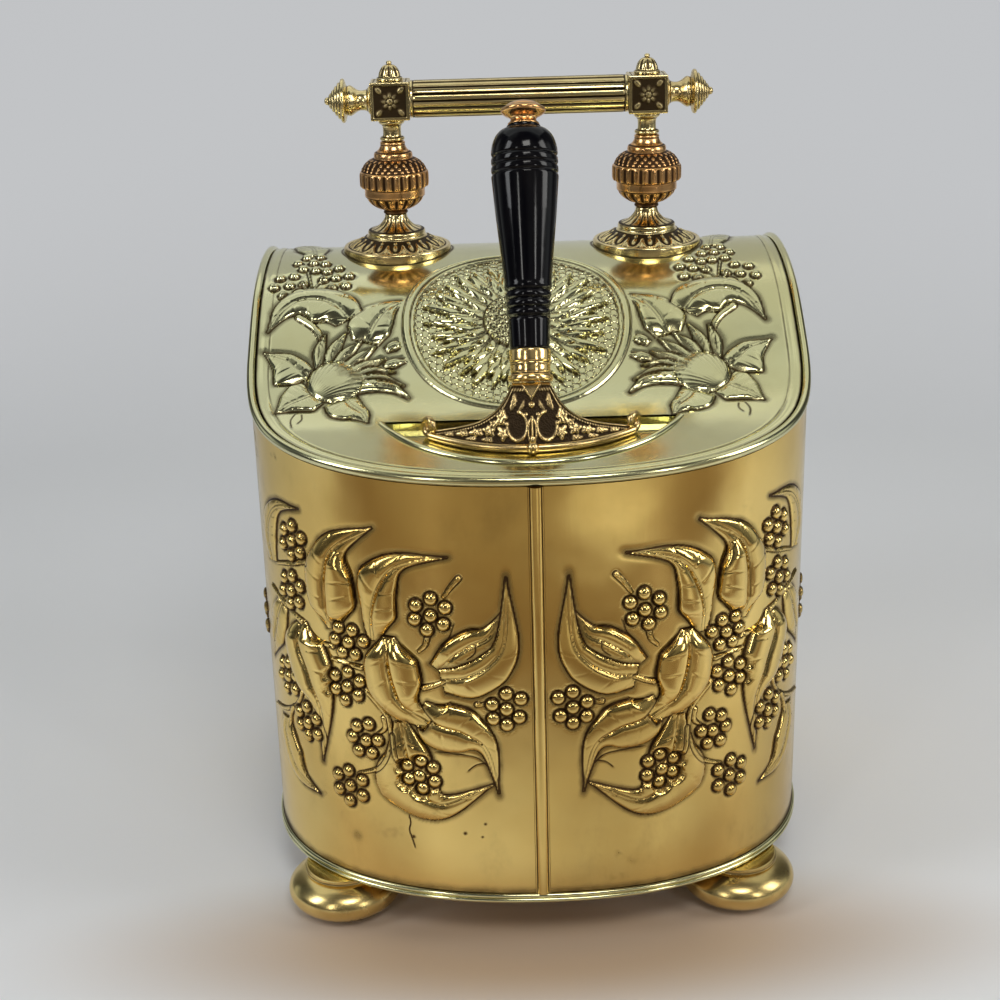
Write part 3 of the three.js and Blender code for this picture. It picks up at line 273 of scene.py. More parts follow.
def tube(skin, path, radius, side, sides, **marks):
    """A round wire along a path, with domed ends. side is roughly square to the path."""
    along = np.gradient(path, axis=0)
    along /= np.linalg.norm(along, axis=1)[:, None]
    over = np.cross(side, along)
    over /= np.linalg.norm(over, axis=1)[:, None]
    side = np.cross(along, over)
    turn = np.arange(sides) * 2 * math.pi / sides
    rings = (
        path[:, None]
        + radius[:, None, None] * np.cos(turn)[None, :, None] * side[:, None]
        + radius[:, None, None] * np.sin(turn)[None, :, None] * over[:, None]
    )
    first, last = [], []
    for shrink in (0.0, 0.5, 0.85):
        push = math.sqrt(1 - shrink * shrink)
        first.append(path[0] - along[0] * radius[0] * push + (rings[0] - path[0]) * shrink)
        last.append(path[-1] + along[-1] * radius[-1] * push + (rings[-1] - path[-1]) * shrink)
    rings = np.concatenate([np.array(first), rings, np.array(last[::-1])])
    return skin.grid(rings, close_u=True, flip=True, **marks)


def ease(low, high, value):
    """0 at low and 1 at high, smoothly."""
    t = np.clip((value - low) / (high - low), 0, 1)
    return t * t * (3 - 2 * t)


def bump(distance, width):
    """1 where distance is 0, and near 0 beyond twice the width."""
    return np.exp(-((distance / width) ** 2))


def dome(share):
    """Height of a half round: 1 in its middle, 0 at a share of 1 and beyond."""
    return np.sqrt(np.clip(1 - share**2, 0, 1))


def off_centre(turn, count):
    """Angle from the nearest of count places that stand evenly round a circle."""
    phase = turn * count / (2 * math.pi)
    return (phase - np.round(phase)) * 2 * math.pi / count


# ---- Form of the box and the lid ----------------------------------------------------------


def lid_height(y):
    """Top of the lid's sheet: a slope, the ogee, and a fall over the crest to the hinge."""
    y = np.asarray(y, float)
    ogee = OGEE_RISE / (1 + np.exp((OGEE_MIDDLE - y) / OGEE_LENGTH))
    fall = BACK_FALL * (np.maximum(0, y - CREST) / (SIDE_LENGTH - CREST)) ** 3
    return LID_FRONT + FRONT_SLOPE * (y + BOW_DEPTH) + ogee - fall


def lid_slope(y):
    y = np.asarray(y, float)
    return np.arctan(lid_height(y + 0.5) - lid_height(y - 0.5))


def half_plan(offset, bow=200, side=120, corner=24):
    """Right half of the plan, from the middle of the front to the back corner."""
    a = np.linspace(math.pi / 2, 0, bow)
    x = (HALF_WIDTH + offset) * np.abs(np.cos(a)) ** (2 / BOW_POWER)
    y = -(BOW_DEPTH + offset) * np.sin(a) ** (2 / BOW_POWER)
    x[0] = 0
    straight = np.linspace(0, SIDE_END, side)[1:]
    c = np.linspace(0, math.pi / 2, corner)[1:]
    x = np.r_[
        x,
        np.full(len(straight), HALF_WIDTH + offset),
        HALF_WIDTH - CORNER_RADIUS + (CORNER_RADIUS + offset) * np.cos(c),
    ]
    y = np.r_[y, straight, SIDE_END + (CORNER_RADIUS + offset) * np.sin(c)]
    return x, y


def wall_line():
    """Distance round the wall from the middle of the front, its place and outward normal."""
    x, y = half_plan(0, 1600, 700, 160)
    s = np.r_[0, np.cumsum(np.hypot(np.diff(x), np.diff(y)))]
    dx, dy = np.gradient(x, s), np.gradient(y, s)
    size = np.hypot(dx, dy)
    return s, x, y, dy / size, -dx / size


WALL_S, WALL_X, WALL_Y, WALL_NX, WALL_NY = wall_line()
WALL_END = WALL_S[-1]


def on_wall(s):
    """Place on the wall at a distance round it, and the outward normal there."""
    return [np.interp(s, WALL_S, v) for v in (WALL_X, WALL_Y, WALL_NX, WALL_NY)]


def rim_underside(y):
    return lid_height(y) - 1 - RIM_RADIUS / np.cos(lid_slope(y))


LID_Y = np.linspace(-BOW_DEPTH, SIDE_LENGTH, 3321)
LID_RUN = np.r_[0, np.cumsum(np.hypot(np.diff(LID_Y), np.diff(lid_height(LID_Y))))]


def lid_run(y):
    """Distance up the lid from its front edge, along the metal."""
    return np.interp(y, LID_Y, LID_RUN)


# ---- Chased and raised work ---------------------------------------------------------------


class Chasing:
    """Relief on a sheet, worked at the places u, v: its height, where tarnish stays, and where shade is
    painted.
    """

    LINE_STEPS = 60
    LEAF_STEPS = 90
    LAYERS = ("height", "hollow", "raised", "stipple")

    def __init__(self, u, v):
        self.u, self.v = np.broadcast_arrays(u, v)
        for layer in self.LAYERS:
            setattr(self, layer, np.zeros(self.u.shape))
        self.mirror = None

    def at(self, points):
        """Where points are worked: beyond the mirror, while there is one."""
        points = np.asarray(points, float)
        return points if self.mirror is None else points * (-1, 1) + (2 * self.mirror, 0)

    def around(self, points, reach):
        """The places within reach of the points' box."""
        low, high = np.min(points, 0) - reach, np.max(points, 0) + reach
        inside = (self.u > low[0]) & (self.u < high[0]) & (self.v > low[1]) & (self.v < high[1])
        return np.nonzero(inside)

    def along(self, path, here):
        """For each place: how far along the path it lies, how far to its left, and past its ends."""
        u, v = self.u[here], self.v[here]
        nearest = np.zeros(len(u), int)
        best = np.full(len(u), FAR)
        for k in range(len(path)):
            d = (u - path[k, 0]) ** 2 + (v - path[k, 1]) ** 2
            closer = d < best
            nearest[closer], best[closer] = k, d[closer]
        tangent = np.gradient(path, axis=0)
        step = np.hypot(*tangent.T)
        tangent = tangent / step[:, None]
        du, dv = u - path[nearest, 0], v - path[nearest, 1]
        forward = du * tangent[nearest, 0] + dv * tangent[nearest, 1]
        left = dv * tangent[nearest, 0] - du * tangent[nearest, 1]
        at = (nearest + forward / step[nearest]) / (len(path) - 1)
        past = np.maximum(np.maximum(-at, at - 1), 0) * (len(path) - 1) * step.mean()
        return np.clip(at, 0, 1), left, past

    def darken(self, here, dark):
        self.hollow[here] = np.maximum(self.hollow[here], dark)

    def line(self, points, depth, width, dark):
        path = flowing(self.at(points), self.LINE_STEPS)
        here = self.around(path, 4)
        at, left, past = self.along(path, here)
        fade = np.minimum(1, np.minimum(at, 1 - at) * 8 + 0.25)
        gap = np.hypot(left, past)
        self.height[here] -= depth * fade * bump(gap, width)
        self.darken(here, dark * fade * bump(gap, width * 1.25))

    def stem(self, points, thick=1.7, height=1.5):
        path = flowing(self.at(points), self.LINE_STEPS)
        here = self.around(path, 6)
        at, left, past = self.along(path, here)
        gap = np.hypot(left, past) / (thick * (1 - 0.35 * at))
        round_over = dome(gap) * height
        split = 0.3 * bump(left, 0.35)
        self.height[here] = np.where(
            gap < 1, np.maximum(self.height[here], round_over - split), self.height[here]
        )
        edge = bump((gap - 1.12) * thick, 0.6)
        self.height[here] -= 0.3 * edge
        self.hollow[here] = np.maximum(self.hollow[here] * (gap > 1), 0.85 * edge)

    def leaf(self, spine, left, right, height=3.0, full=1.0, veins=7, lift=0.55):
        """A leaf from its stalk to its tip, with the width either side at each spine point.
        full says how far its two halves are blown up beside the rib."""
        if self.mirror is not None:
            left, right = right, left
        path = flowing(self.at(spine), self.LEAF_STEPS)
        steps = np.linspace(0, 1, self.LEAF_STEPS)
        knots = np.linspace(0, 1, len(spine))
        wide = []
        for widths in (left, right):
            width = np.maximum(np.interp(steps, knots, widths), 0.05)
            wide.append(np.convolve(np.pad(width, 5, mode="edge"), np.ones(11) / 11, "valid"))
        here = self.around(path, max(max(left), max(right)) + 5)
        at, side, past = self.along(path, here)
        own = np.where(side > 0, np.interp(at, steps, wide[0]), np.interp(at, steps, wide[1]))
        own = np.maximum(own, 0.05)
        share = np.abs(side) / own
        beside = np.hypot(past, np.maximum(np.abs(side) - own, 0))
        outside = np.where(past > 0, beside, (share - 1) * own)
        inside = outside < 0
        b = np.clip(share, 0, 1)
        length = np.sum(np.hypot(*np.diff(path, axis=0).T))
        swell = np.minimum(1, own / (0.16 * length)) ** 0.8
        blown = dome(2 * b**0.72 - 1) ** 0.85
        blown *= ease(-0.08, 0.24, at) * (1 - ease(0.6, 0.98, at))
        flat = 0.5 * (1 - b**3)
        body = lift * (1 - 0.6 * b) + height * swell * (full * blown + (1 - full) * flat)
        rib = 0.35 * bump(side, 0.6) - 0.3 * bump(np.abs(side) - 1.1, 0.5)
        phase = at * veins - 0.55 * b
        vein = bump((phase - np.round(phase)) * length / veins, 0.55)
        vein *= ease(0.08, 0.25, b) * (1 - ease(0.75, 0.95, b))
        vein_depth = 0.28 if full > 0.5 else 0.4
        body += (rib - vein_depth * vein) * np.minimum(1, own / 4)
        body *= ease(0, 0.9, -outside)
        # What lies under the leaf's edge still shows a little through it.
        body += 0.25 * np.maximum(self.height[here], 0) * (b > 0.8)
        groove = bump(outside - 0.1, 0.62)
        shade = 0.55 * bump(outside - 1.2, 1.8) * ~inside
        self.height[here] = np.where(inside, body, self.height[here]) - 0.35 * (groove + shade)
        dark = np.maximum.reduce([
            groove,
            0.5 * bump(np.abs(side) - 1.0, 0.5) * inside,
            0.32 * vein * inside * (1 - full * 0.4),
            # Tarnish and painted shade on the ground round the leaf.
            0.48 * bump(outside - 0.5, 3.0) * ~inside,
        ])
        self.hollow[here] = np.where(inside, dark, np.maximum(self.hollow[here], dark))
        self.raised[here] = np.where(inside, blown * swell * full, self.raised[here])
        self.stipple[here] = np.where(inside, 0, self.stipple[here])

    def ground(self, points, reach, depth, dark):
        """Matted ground let down round a bunch of berries."""
        here = self.around(points, reach + 6)
        gap = np.full(len(here[0]), FAR)
        for pu, pv in points:
            gap = np.minimum(gap, np.hypot(self.u[here] - pu, self.v[here] - pv))
        low = 1 - ease(reach - 1.5, reach + 2.5, gap)
        self.height[here] = self.height[here] * (1 - 0.85 * low) - depth * low
        self.darken(here, dark * low)
        self.stipple[here] = np.maximum(self.stipple[here], low)

    def berries(self, centres, radius=3.9, height=3.1, depth=0.5, dark=0.75):
        centres = self.at(centres)
        self.ground(centres, radius + 1.1, depth, dark)
        for cu, cv in centres:
            here = self.around(np.array([[cu, cv]]), radius + 3)
            gap = np.hypot(self.u[here] - cu, self.v[here] - cv) / radius
            on = gap < 1
            ring = bump((gap - 1.1) * radius, 0.55)
            ball = dome(gap) * height - depth * 0.4
            self.height[here] = np.where(on, ball, self.height[here] - 0.3 * ring)
            self.hollow[here] = np.where(
                on, 0.85 * ease(0.8, 1.0, gap), np.maximum(self.hollow[here], 0.95 * ring)
            )
            self.raised[here] = np.where(on, 1 - gap**2, self.raised[here])
            self.stipple[here] = np.where(on, 0, self.stipple[here])


# Sprays of the box, as distance round the wall from the seam strip, and height.
BUNCHES = [
    [(61.8, 231.4), (53.5, 226.3), (70.8, 226.7), (62.2, 220.7), (54.9, 215.8), (71.8, 217.9),
     (64.6, 211.7)],
    [(19.4, 172.1), (10.9, 168.6), (27.8, 165.1), (19.4, 161.9), (12.1, 156.8), (27.4, 155.8),
     (19.4, 151.9)],
    [(105.6, 198.9), (112.8, 204.7), (122.6, 204.7), (116.0, 196.4), (125.7, 196.4), (111.4, 189.4),
     (120.8, 189.0)],
    [(117.8, 176.3), (109.7, 171.8), (127.4, 172.1), (118.8, 166.5), (111.4, 162.4), (127.5, 163.0),
     (120.8, 157.2)],
    [(105.1, 144.3), (113.5, 141.3), (99.3, 134.6), (107.4, 132.9), (117.0, 133.5), (103.8, 125.3),
     (113.2, 124.9)],
    [(121.8, 108.5), (112.2, 104.3), (130.3, 103.6), (121.1, 98.2), (112.5, 93.6), (130.1, 93.6),
     (122.2, 87.8)],
    [(71.8, 125.3), (64.6, 121.4), (80.6, 121.4), (73.2, 114.9), (63.9, 112.1), (80.1, 112.1),
     (71.5, 106.8)],
    [(157.2, 261.1), (148.9, 255.2), (166.3, 256.3), (158.3, 251.3), (150.9, 245.8), (168.6, 246.6),
     (160.3, 241.4)],
    [(160.6, 227.8), (153.0, 223.1), (170.0, 224.2), (163.0, 217.3), (155.3, 212.2), (173.1, 214.8),
     (164.5, 208.6)],
    [(173.3, 165.3), (165.0, 159.4), (182.2, 162.2), (174.7, 155.5), (167.0, 149.2), (185.3, 152.8),
     (178.0, 146.3)],
    [(155.3, 141.6), (146.3, 136.4), (163.8, 135.6), (154.8, 130.6), (146.3, 125.8), (163.8, 126.6),
     (155.6, 122.0)],
]
SIDE_MIDDLE = 229.0
SIDE_BUNCH = [(229, 190), (221, 184), (237, 184), (229, 178), (221, 172), (237, 172), (229, 166)]


def wall_spray(work):
    """Leaves, stalks and berries of one half panel."""
    work.leaf([(183, 124), (181, 112), (175, 99), (164, 89), (147.8, 83.8)], [7, 11, 11, 6, 0],
         [7, 10, 12, 5, 0], height=2.2)
    work.leaf([(186, 230), (188, 245), (184, 258), (172, 269), (150.3, 273.6)], [6, 10, 9, 3.5, 0],
         [8, 13, 10, 4.5, 0], height=2.0, full=0.55)
    work.leaf([(176, 205), (181, 194), (187, 181), (193, 170), (201, 159)], [6, 11, 11, 5, 0],
         [7, 10, 10, 4, 0], height=2.2)
    work.leaf([(127, 203), (128.5, 220), (127.5, 240), (120, 257), (96, 272)], [4, 20, 18, 7, 0],
         [4, 15.5, 17.5, 10, 0], height=6.2)
    work.leaf([(99, 201), (97, 220), (91, 238), (79, 251.5), (51.1, 257.5)], [4, 15, 10, 3.5, 0],
         [4, 8, 17, 7, 0], height=5.6)
    work.leaf([(153, 201), (154, 187), (146, 168), (140, 146), (142.8, 109.2)], [3, 17, 20, 8, 0],
         [3, 19, 18, 8, 0], height=6.0)
    work.leaf([(71, 160), (60, 151.5), (45, 147), (32, 136), (25.4, 106)], [7, 17, 16, 4.5, 0],
         [6, 15, 15, 7, 0], height=4.8, full=0.95)
    work.leaf([(88.5, 205), (88.5, 190), (85.5, 174), (79.5, 161), (66, 151)], [3, 17, 19, 12, 4],
         [3, 17.5, 17.5, 10, 3], height=6.5, veins=5)
    work.leaf([(58, 186), (49, 197), (39, 204), (28, 210), (19, 226)], [7, 10, 10, 7, 0],
         [7, 9, 9, 6, 0], height=4.6, veins=5)
    work.leaf([(57, 180), (42, 183.5), (28, 192), (19.5, 207), (18, 245.5)], [8, 15, 14, 8.5, 0],
         [7, 9, 8, 5.5, 0], height=4.6, veins=5)
    work.leaf([(84, 150), (80, 130), (77, 112), (60, 97), (28.5, 111.7)], [4, 15, 27, 10, 0],
         [4, 14, 16, 7, 0], height=5.2, full=0.95)
    for points in (
        [(64.6, 207.5), (66, 202), (70, 197.8)],
        [(45, 245), (50, 239), (54, 233)],
        [(68, 174.2), (61, 176.5), (55.5, 179.5)],
        [(36.5, 165), (31, 165)],
        [(105.6, 167.2), (97.2, 158.9), (91.7, 150.6), (90.3, 136.7), (92.4, 125.6), (100, 115.8),
         (113.9, 109)],
        [(94.4, 150.6), (94, 144), (99, 139)],
        [(88.9, 140), (87, 131), (84.7, 124)],
        [(128, 191), (134, 191)],
        [(108, 181.5), (118, 182), (129, 183)],
        [(142, 242.7), (150, 240), (158.8, 236.4), (168, 234), (177.5, 231)],
        [(153, 200), (160, 202), (171, 206), (190, 211.4)],
        [(158.8, 151), (164, 142), (171, 135.6), (185, 129), (202.5, 124.7)],
        [(171, 135.6), (175, 129), (177, 121)],
    ):
        work.stem(points)
    for bunch in BUNCHES:
        work.berries(bunch)
    for points in (
        [(152, 149), (143, 141), (138, 129), (140, 117), (143.5, 110)],
        [(64.6, 132.4), (48.6, 131.5), (37.5, 129.5), (30, 122)],
        [(48, 218), (52, 207), (58, 200)],
        [(36, 206), (36.5, 200), (42, 195)],
        [(31, 126), (38, 125), (44, 120)],
    ):
        work.line(points, depth=0.25, width=0.5, dark=0.8)


def panel_work(s, z, side):
    """The relief of one panel, with the stains and scratches of its metal, and painted shade round its
    side.
    """
    work, beyond = Chasing(s, z), Chasing(s, z)
    # The flat of the side repeats the spray, mirrored, round to the back corner.
    beyond.mirror = SIDE_MIDDLE
    wall_spray(work)
    wall_spray(beyond)
    for layer in work.LAYERS:
        merged = np.where(s > SIDE_MIDDLE, getattr(beyond, layer), getattr(work, layer))
        setattr(work, layer, merged)
    work.berries(SIDE_BUNCH)
    plain_corner = 1 - ease(408, 424, s)
    work.height *= plain_corner
    work.hollow *= plain_corner
    # Darker towards the bottom of the wall.
    wall_foot_darkening = 0.5 * bump(z - WALL_BOTTOM, 5.0)
    # Painted shade where the bow turns into the flat of the side.
    side_shade = 0.42 * ease(165, 238, s) * (1 - ease(255, 330, s))
    work.hollow = np.maximum(work.hollow, wall_foot_darkening + side_shade)
    if side < 0:
        scratch = [(82, 88), (80.5, 82), (81.5, 76), (79.5, 69), (78, 63)]
        work.line(scratch, depth=0.12, width=0.45, dark=0.95)
        for u, v, across, dark in (
            (46.5, 77.6, 1.5, 0.8), (34, 84.6, 1.3, 0.75), (36, 75.6, 1.1, 0.7),
            (79, 72, 1.6, 0.7), (118, 64, 5.5, 0.4), (64, 92, 2.2, 0.3),
        ):
            spot = bump(np.hypot(s - u, z - v), across) * dark
            work.hollow = np.maximum(work.hollow, spot)
    return work


def body_panel(side, hand, material):
    """One embossed sheet, from the front seam round the side and the back corner."""
    s = stations((0.15, 236, PANEL_STEP), (236, 400, 1.25), (400, WALL_END, 2.5))
    x, y, nx, ny = on_wall(s)
    top = rim_underside(y) - FIT_GAP
    low = stations((WALL_BOTTOM, 60, 2.0), (60, LEVEL_TOP, PANEL_STEP))
    share = np.linspace(0, 1, 13)[1:, None]
    z = np.vstack([np.repeat(low[:, None], len(s), 1), LEVEL_TOP + share * (top - LEVEL_TOP)])
    work = panel_work(np.broadcast_to(s, z.shape), z, side)
    # Relief eases off where it would stand past the wired edge above it.
    beside = (PANEL_REACH - x) / np.maximum(nx, 0.02)
    ahead = (BOW_DEPTH + FRONT_REACH + y) / np.maximum(-ny, 0.02)
    most = np.maximum(np.minimum(beside, ahead), 0.2)
    height = np.where(work.height > 0, most * np.tanh(work.height / most), work.height)
    height = height * ease(0, 3, s)
    outer = stacked(side * (x + nx * height), y + ny * height, z)
    back = stacked(side * (x - nx * SHEET), y - ny * SHEET, z)
    skin = Skin().sheet(outer, back, 6, 5, flip=side < 0, hollow=work.hollow, raised=work.raised,
                        stipple=work.stipple)
    skin.piece(f"embossed_panel_{hand}", "box", material, "wall_brass", f"body_panel_{hand}")


# The stamped ornament sits a little left of the lid's middle, as it does on the real one.
MEDALLION = (-6.2, 165.0)
MEDALLION_RADIUS = 72.0
MEDALLION_ACROSS = 71.8
MEDALLION_ALONG = 77.0
HEXAGON_ROW = 0.866
# How many petals a ring has, where they start and end, half their width, how far the ring is
# turned, and their height.
PETAL_RINGS = [
    (30, 24, 55, 3.0, 0.0, 2.1),
    (30, 24, 48, 2.9, 0.5, 2.5),
    (28, 21, 40, 2.7, 0.2, 2.8),
    (24, 19, 32, 2.5, 0.7, 2.9),
]


def hexagons(a, b, pitch):
    """The nearest place of a hexagonal lattice with its rows square to a."""
    row = np.round(a / (pitch * HEXAGON_ROW))
    shift = 0.5 * np.mod(row, 2)
    return row * pitch * HEXAGON_ROW, (np.round(b / pitch - shift) + shift) * pitch


def medallion(work):
    """Sunflower in a ring, on a ground of round punch marks."""
    du = (work.u - MEDALLION[0]) / MEDALLION_ACROSS * MEDALLION_RADIUS
    dv = (work.v - MEDALLION[1]) / MEDALLION_ALONG * MEDALLION_RADIUS
    r, turn = np.hypot(du, dv), np.arctan2(dv, du)
    height = 1.5 * dome((r - 69.6) / 2.3) + 0.7 * bump(r - 65.6, 0.9)
    hollow = 0.8 * bump(r - 67.1, 0.5) + 0.7 * bump(r - 72.4, 0.6) + 0.5 * bump(r - 64.3, 0.6)
    field = 1 - ease(63.5, 65.0, r)
    height -= 0.5 * field
    cu, cv = hexagons(du, dv, 5.1)
    wander = 0.35 * np.sin(cu * 1.7 + cv * 2.3)
    dimple = 1 - ease(1.75, 2.4, np.hypot(du - cu - wander, dv - cv + wander))
    height -= dimple * field
    hollow = np.maximum(hollow, 0.98 * dimple * field)
    # Rings of pointed petals, each over the one outside it.
    for count, inner, outer, half, start, lift in PETAL_RINGS:
        place = turn * count / (2 * math.pi) + start
        number = np.round(place)
        reach = outer + 2.6 * np.sin(number * 2.4)
        if outer > 50:
            reach = reach + 3.5 * np.cos(turn) ** 2
        across = r * np.sin((place - number) * 2 * math.pi / count)
        at = np.clip((r - inner) / (reach - inner), 0, 1.2)
        spindle = np.sin(math.pi * np.clip(at, 0, 1) ** 0.62 * 0.93 + 0.2)
        width = half * np.sqrt(np.clip(spindle, 0, 1)) * (1 - 0.75 * ease(0.8, 1.02, at))
        share = np.abs(across) / np.maximum(width, 0.05)
        on = (share < 1) & (at < 1) & (r > inner - 2)
        crown = dome(share)
        tip = np.sqrt(np.clip((1 - at) / 0.08, 0, 1))
        lines = 0.10 * np.cos(across * 2 * math.pi / 1.5) * (1 - ease(0.5, 0.7, at))
        body = lift * (0.3 + 0.7 * ease(0.35, 0.8, at)) * (0.25 + 0.75 * crown) * tip
        edge = bump((share - 1) * width, 0.42) * (at < 1) * (r > inner)
        edge = edge + bump((at - 1) * (reach - inner), 0.5) * (share < 1)
        height = np.where(on, body + lines * crown, height - 0.3 * edge * (r > inner))
        dark = 0.5 * (1 - crown) ** 1.5 + 0.3 * (lines < -0.04) * (1 - at)
        hollow = np.where(on, dark, np.maximum(hollow, 0.85 * np.minimum(edge, 1)))
    # Seed head of small round beads.
    cv, cu = hexagons(dv, du, 3.6)
    bead = dome(np.hypot(du - cu, dv - cv) / 1.75)
    head = 1 - ease(19.5, 21.0, r)
    height = height * (1 - head) + head * (3.4 * dome(r / 24) + bead)
    hollow = hollow * (1 - head) + head * (1 - ease(0.0, 0.75, bead)) * 0.95
    hollow = np.maximum(hollow, 0.9 * bump(r - 20.9, 0.7))
    inside = r < 75
    work.height = np.where(inside, height, work.height)
    work.hollow = np.where(inside, np.clip(hollow, 0, 1), work.hollow)
    work.stipple = np.where(inside, head, 0)


LID_BERRIES = [
    (-143.5, 246.5), (-134.2, 247.0), (-148.2, 236.0), (-138.2, 236.5), (-130.0, 234.5),
    (-144.2, 226.5),
    (-135.7, 224.0), (-128.2, 222.0), (-120.8, 226.5), (-158.0, 214.0), (-149.2, 216.5),
    (-161.0, 202.5),
    (-151.3, 204.5), (-142.5, 205.5), (-130.0, 210.5), (-122.0, 213.0), (-113.5, 215.0),
    (-154.5, 193.5),
    (-145.5, 197.0), (-123.8, 201.0), (-115.0, 203.0),
]


def lid_spray(work):
    """Berries, leaves and thistle on one side of the medallion."""
    work.berries(LID_BERRIES, radius=3.5, height=3.0, depth=0.3, dark=0.35)
    for points in (
        [(-140.5, 221), (-138.5, 210), (-136.5, 199.5)],
        [(-130.5, 210), (-133, 205), (-135.5, 200)],
        [(-143, 204.5), (-139, 199)],
    ):
        work.stem(points, thick=1.0, height=1.1)
    work.leaf([(-138, 252), (-141, 268), (-147, 284), (-158, 300)], [5, 11, 9, 0], [5, 11, 8, 0],
              height=1.6, full=0.5)
    work.leaf([(-88, 144), (-83, 147), (-77, 149)], [2.5, 4, 1.5], [2.5, 4, 1.5], height=1.5, veins=3)
    work.leaf([(-89, 131), (-83, 133), (-75, 135.5)], [2.5, 4, 1.2], [2.5, 4, 1.2], height=1.5, veins=3)
    work.leaf([(-100, 150.5), (-97, 160), (-91.5, 171), (-84, 180), (-74, 186)], [9, 17, 15, 6, 0],
         [8, 12, 9.5, 4, 0], height=2.6, full=0.9, veins=4)
    work.leaf([(-112, 170), (-119, 180), (-130, 186.5), (-143, 186), (-154, 177.5), (-162.5, 160.5)],
         [9, 17, 22, 13, 6.5, 0], [10, 14, 12.5, 11.5, 7, 0], height=2.9, veins=6)
    work.stem([(-143, 172), (-134, 164), (-129, 155), (-128, 146), (-130, 138)], thick=2.4, height=1.8)
    work.leaf([(-136, 123), (-142, 130), (-150, 137.5), (-164, 144.5)], [9, 19, 13, 0], [7, 8, 6, 0],
         height=2.3, full=0.9, veins=5)
    work.leaf([(-112, 103), (-108, 95), (-101, 87), (-96.8, 78)], [8, 8, 5, 0], [14, 15, 8, 0],
         height=2.2, full=0.9, veins=5)
    work.leaf([(-131, 108), (-138, 103), (-145, 98), (-153.5, 91.5)], [10, 13, 7, 0], [14, 16, 11, 0],
         height=2.3, full=0.9, veins=5)
    # Petals of the thistle, from the far ones to those in front, then its bulb.
    for spine, wide, rise in (
        ([(-127, 128), (-129, 144), (-126, 158)], 4.5, 2.2),
        ([(-122, 130), (-120, 145), (-113, 159)], 4.8, 2.6),
        ([(-118, 130), (-112, 142), (-103, 151.5)], 4.6, 2.8),
        ([(-113, 128), (-104, 138), (-94, 147)], 4.6, 3.0),
        ([(-110, 124), (-100, 131), (-88, 137)], 4.8, 3.1),
        ([(-107, 120), (-95, 126), (-82, 126)], 4.8, 3.2),
        ([(-108, 117), (-91, 120), (-76, 114)], 4.9, 3.2),
        ([(-112, 111), (-97, 114.5), (-83, 112), (-73, 102.5)], 5.2, 3.4),
    ):
        widths = [wide, wide, wide * 0.8][: len(spine) - 1] + [0.6]
        work.leaf(spine, widths, widths, height=rise * 0.55, full=0.0, veins=3, lift=rise * 0.5)
    bulb(work)
    for points in ([(-141, 91), (-143.5, 83), (-142, 74)], [(-137.5, 90), (-137, 84), (-139.5, 79)]):
        work.line(points, depth=0.3, width=0.5, dark=0.8)


def bulb(work):
    """Scored bulb of the thistle."""
    centre, tip = work.at([(-119, 117.5), (-111, 125.5)])
    here = work.around(centre[None], 26)
    axis = (tip - centre) / math.hypot(*(tip - centre))
    du, dv = work.u[here] - centre[0], work.v[here] - centre[1]
    a = du * axis[0] + dv * axis[1]
    b = dv * axis[0] - du * axis[1]
    gap = np.hypot(a / np.where(a > 0, 19, 16.5), b / 17.0)
    on = gap < 1
    lines = 0.16 * np.cos(np.arctan2(b, a + 26) * 62) * ease(0.15, 0.6, gap)
    ring = bump((gap - 1.03) * 17, 0.6)
    under_petals = ease(0.5, 1.0, a / 19)
    body = (4.6 * dome(gap) + lines) * (1 - under_petals * 0.6)
    old = work.height[here]
    work.height[here] = np.where(
        on & (body > old * under_petals), body, old - 0.3 * ring * (a < 6)
    )
    old = work.hollow[here]
    dark = np.where(on, 0.35 * (lines < -0.08), np.maximum(old, 0.95 * ring * (a < 8)))
    work.hollow[here] = np.where(on & (a > 8), np.maximum(old * 0.6, dark), dark)
    work.raised[here] = np.where(on, 1 - gap, work.raised[here])


def lid_work(x, run):
    """The lid's relief, left plain where the posts stand."""
    work = Chasing(x, run)
    lid_spray(work)
    work.mirror = MEDALLION[0]
    lid_spray(work)
    medallion(work)
    for side in (-1, 1):
        near = np.hypot(x - side * POST_X, run - lid_run(POST_Y))
        clear = ease(37, 42, near)
        work.height = work.height * clear
        work.hollow = np.maximum(work.hollow * clear, 0.75 * bump(near - 37.2, 1.2))
    return work


def lid_half_width(y):
    """Half the width of the lid's sheet at y, inside its wired edge."""
    y = np.asarray(y, float)
    forward = np.clip(-y / (BOW_DEPTH + LID_EDGE), 0, 1)
    bow = (HALF_WIDTH + LID_EDGE) * (1 - forward**BOW_POWER) ** (1 / BOW_POWER)
    past = np.clip((y - SIDE_END) / (CORNER_RADIUS + LID_EDGE), 0, 1)
    corner = (CORNER_RADIUS + LID_EDGE) * (1 - np.sqrt(1 - past**2))
    return bow - corner


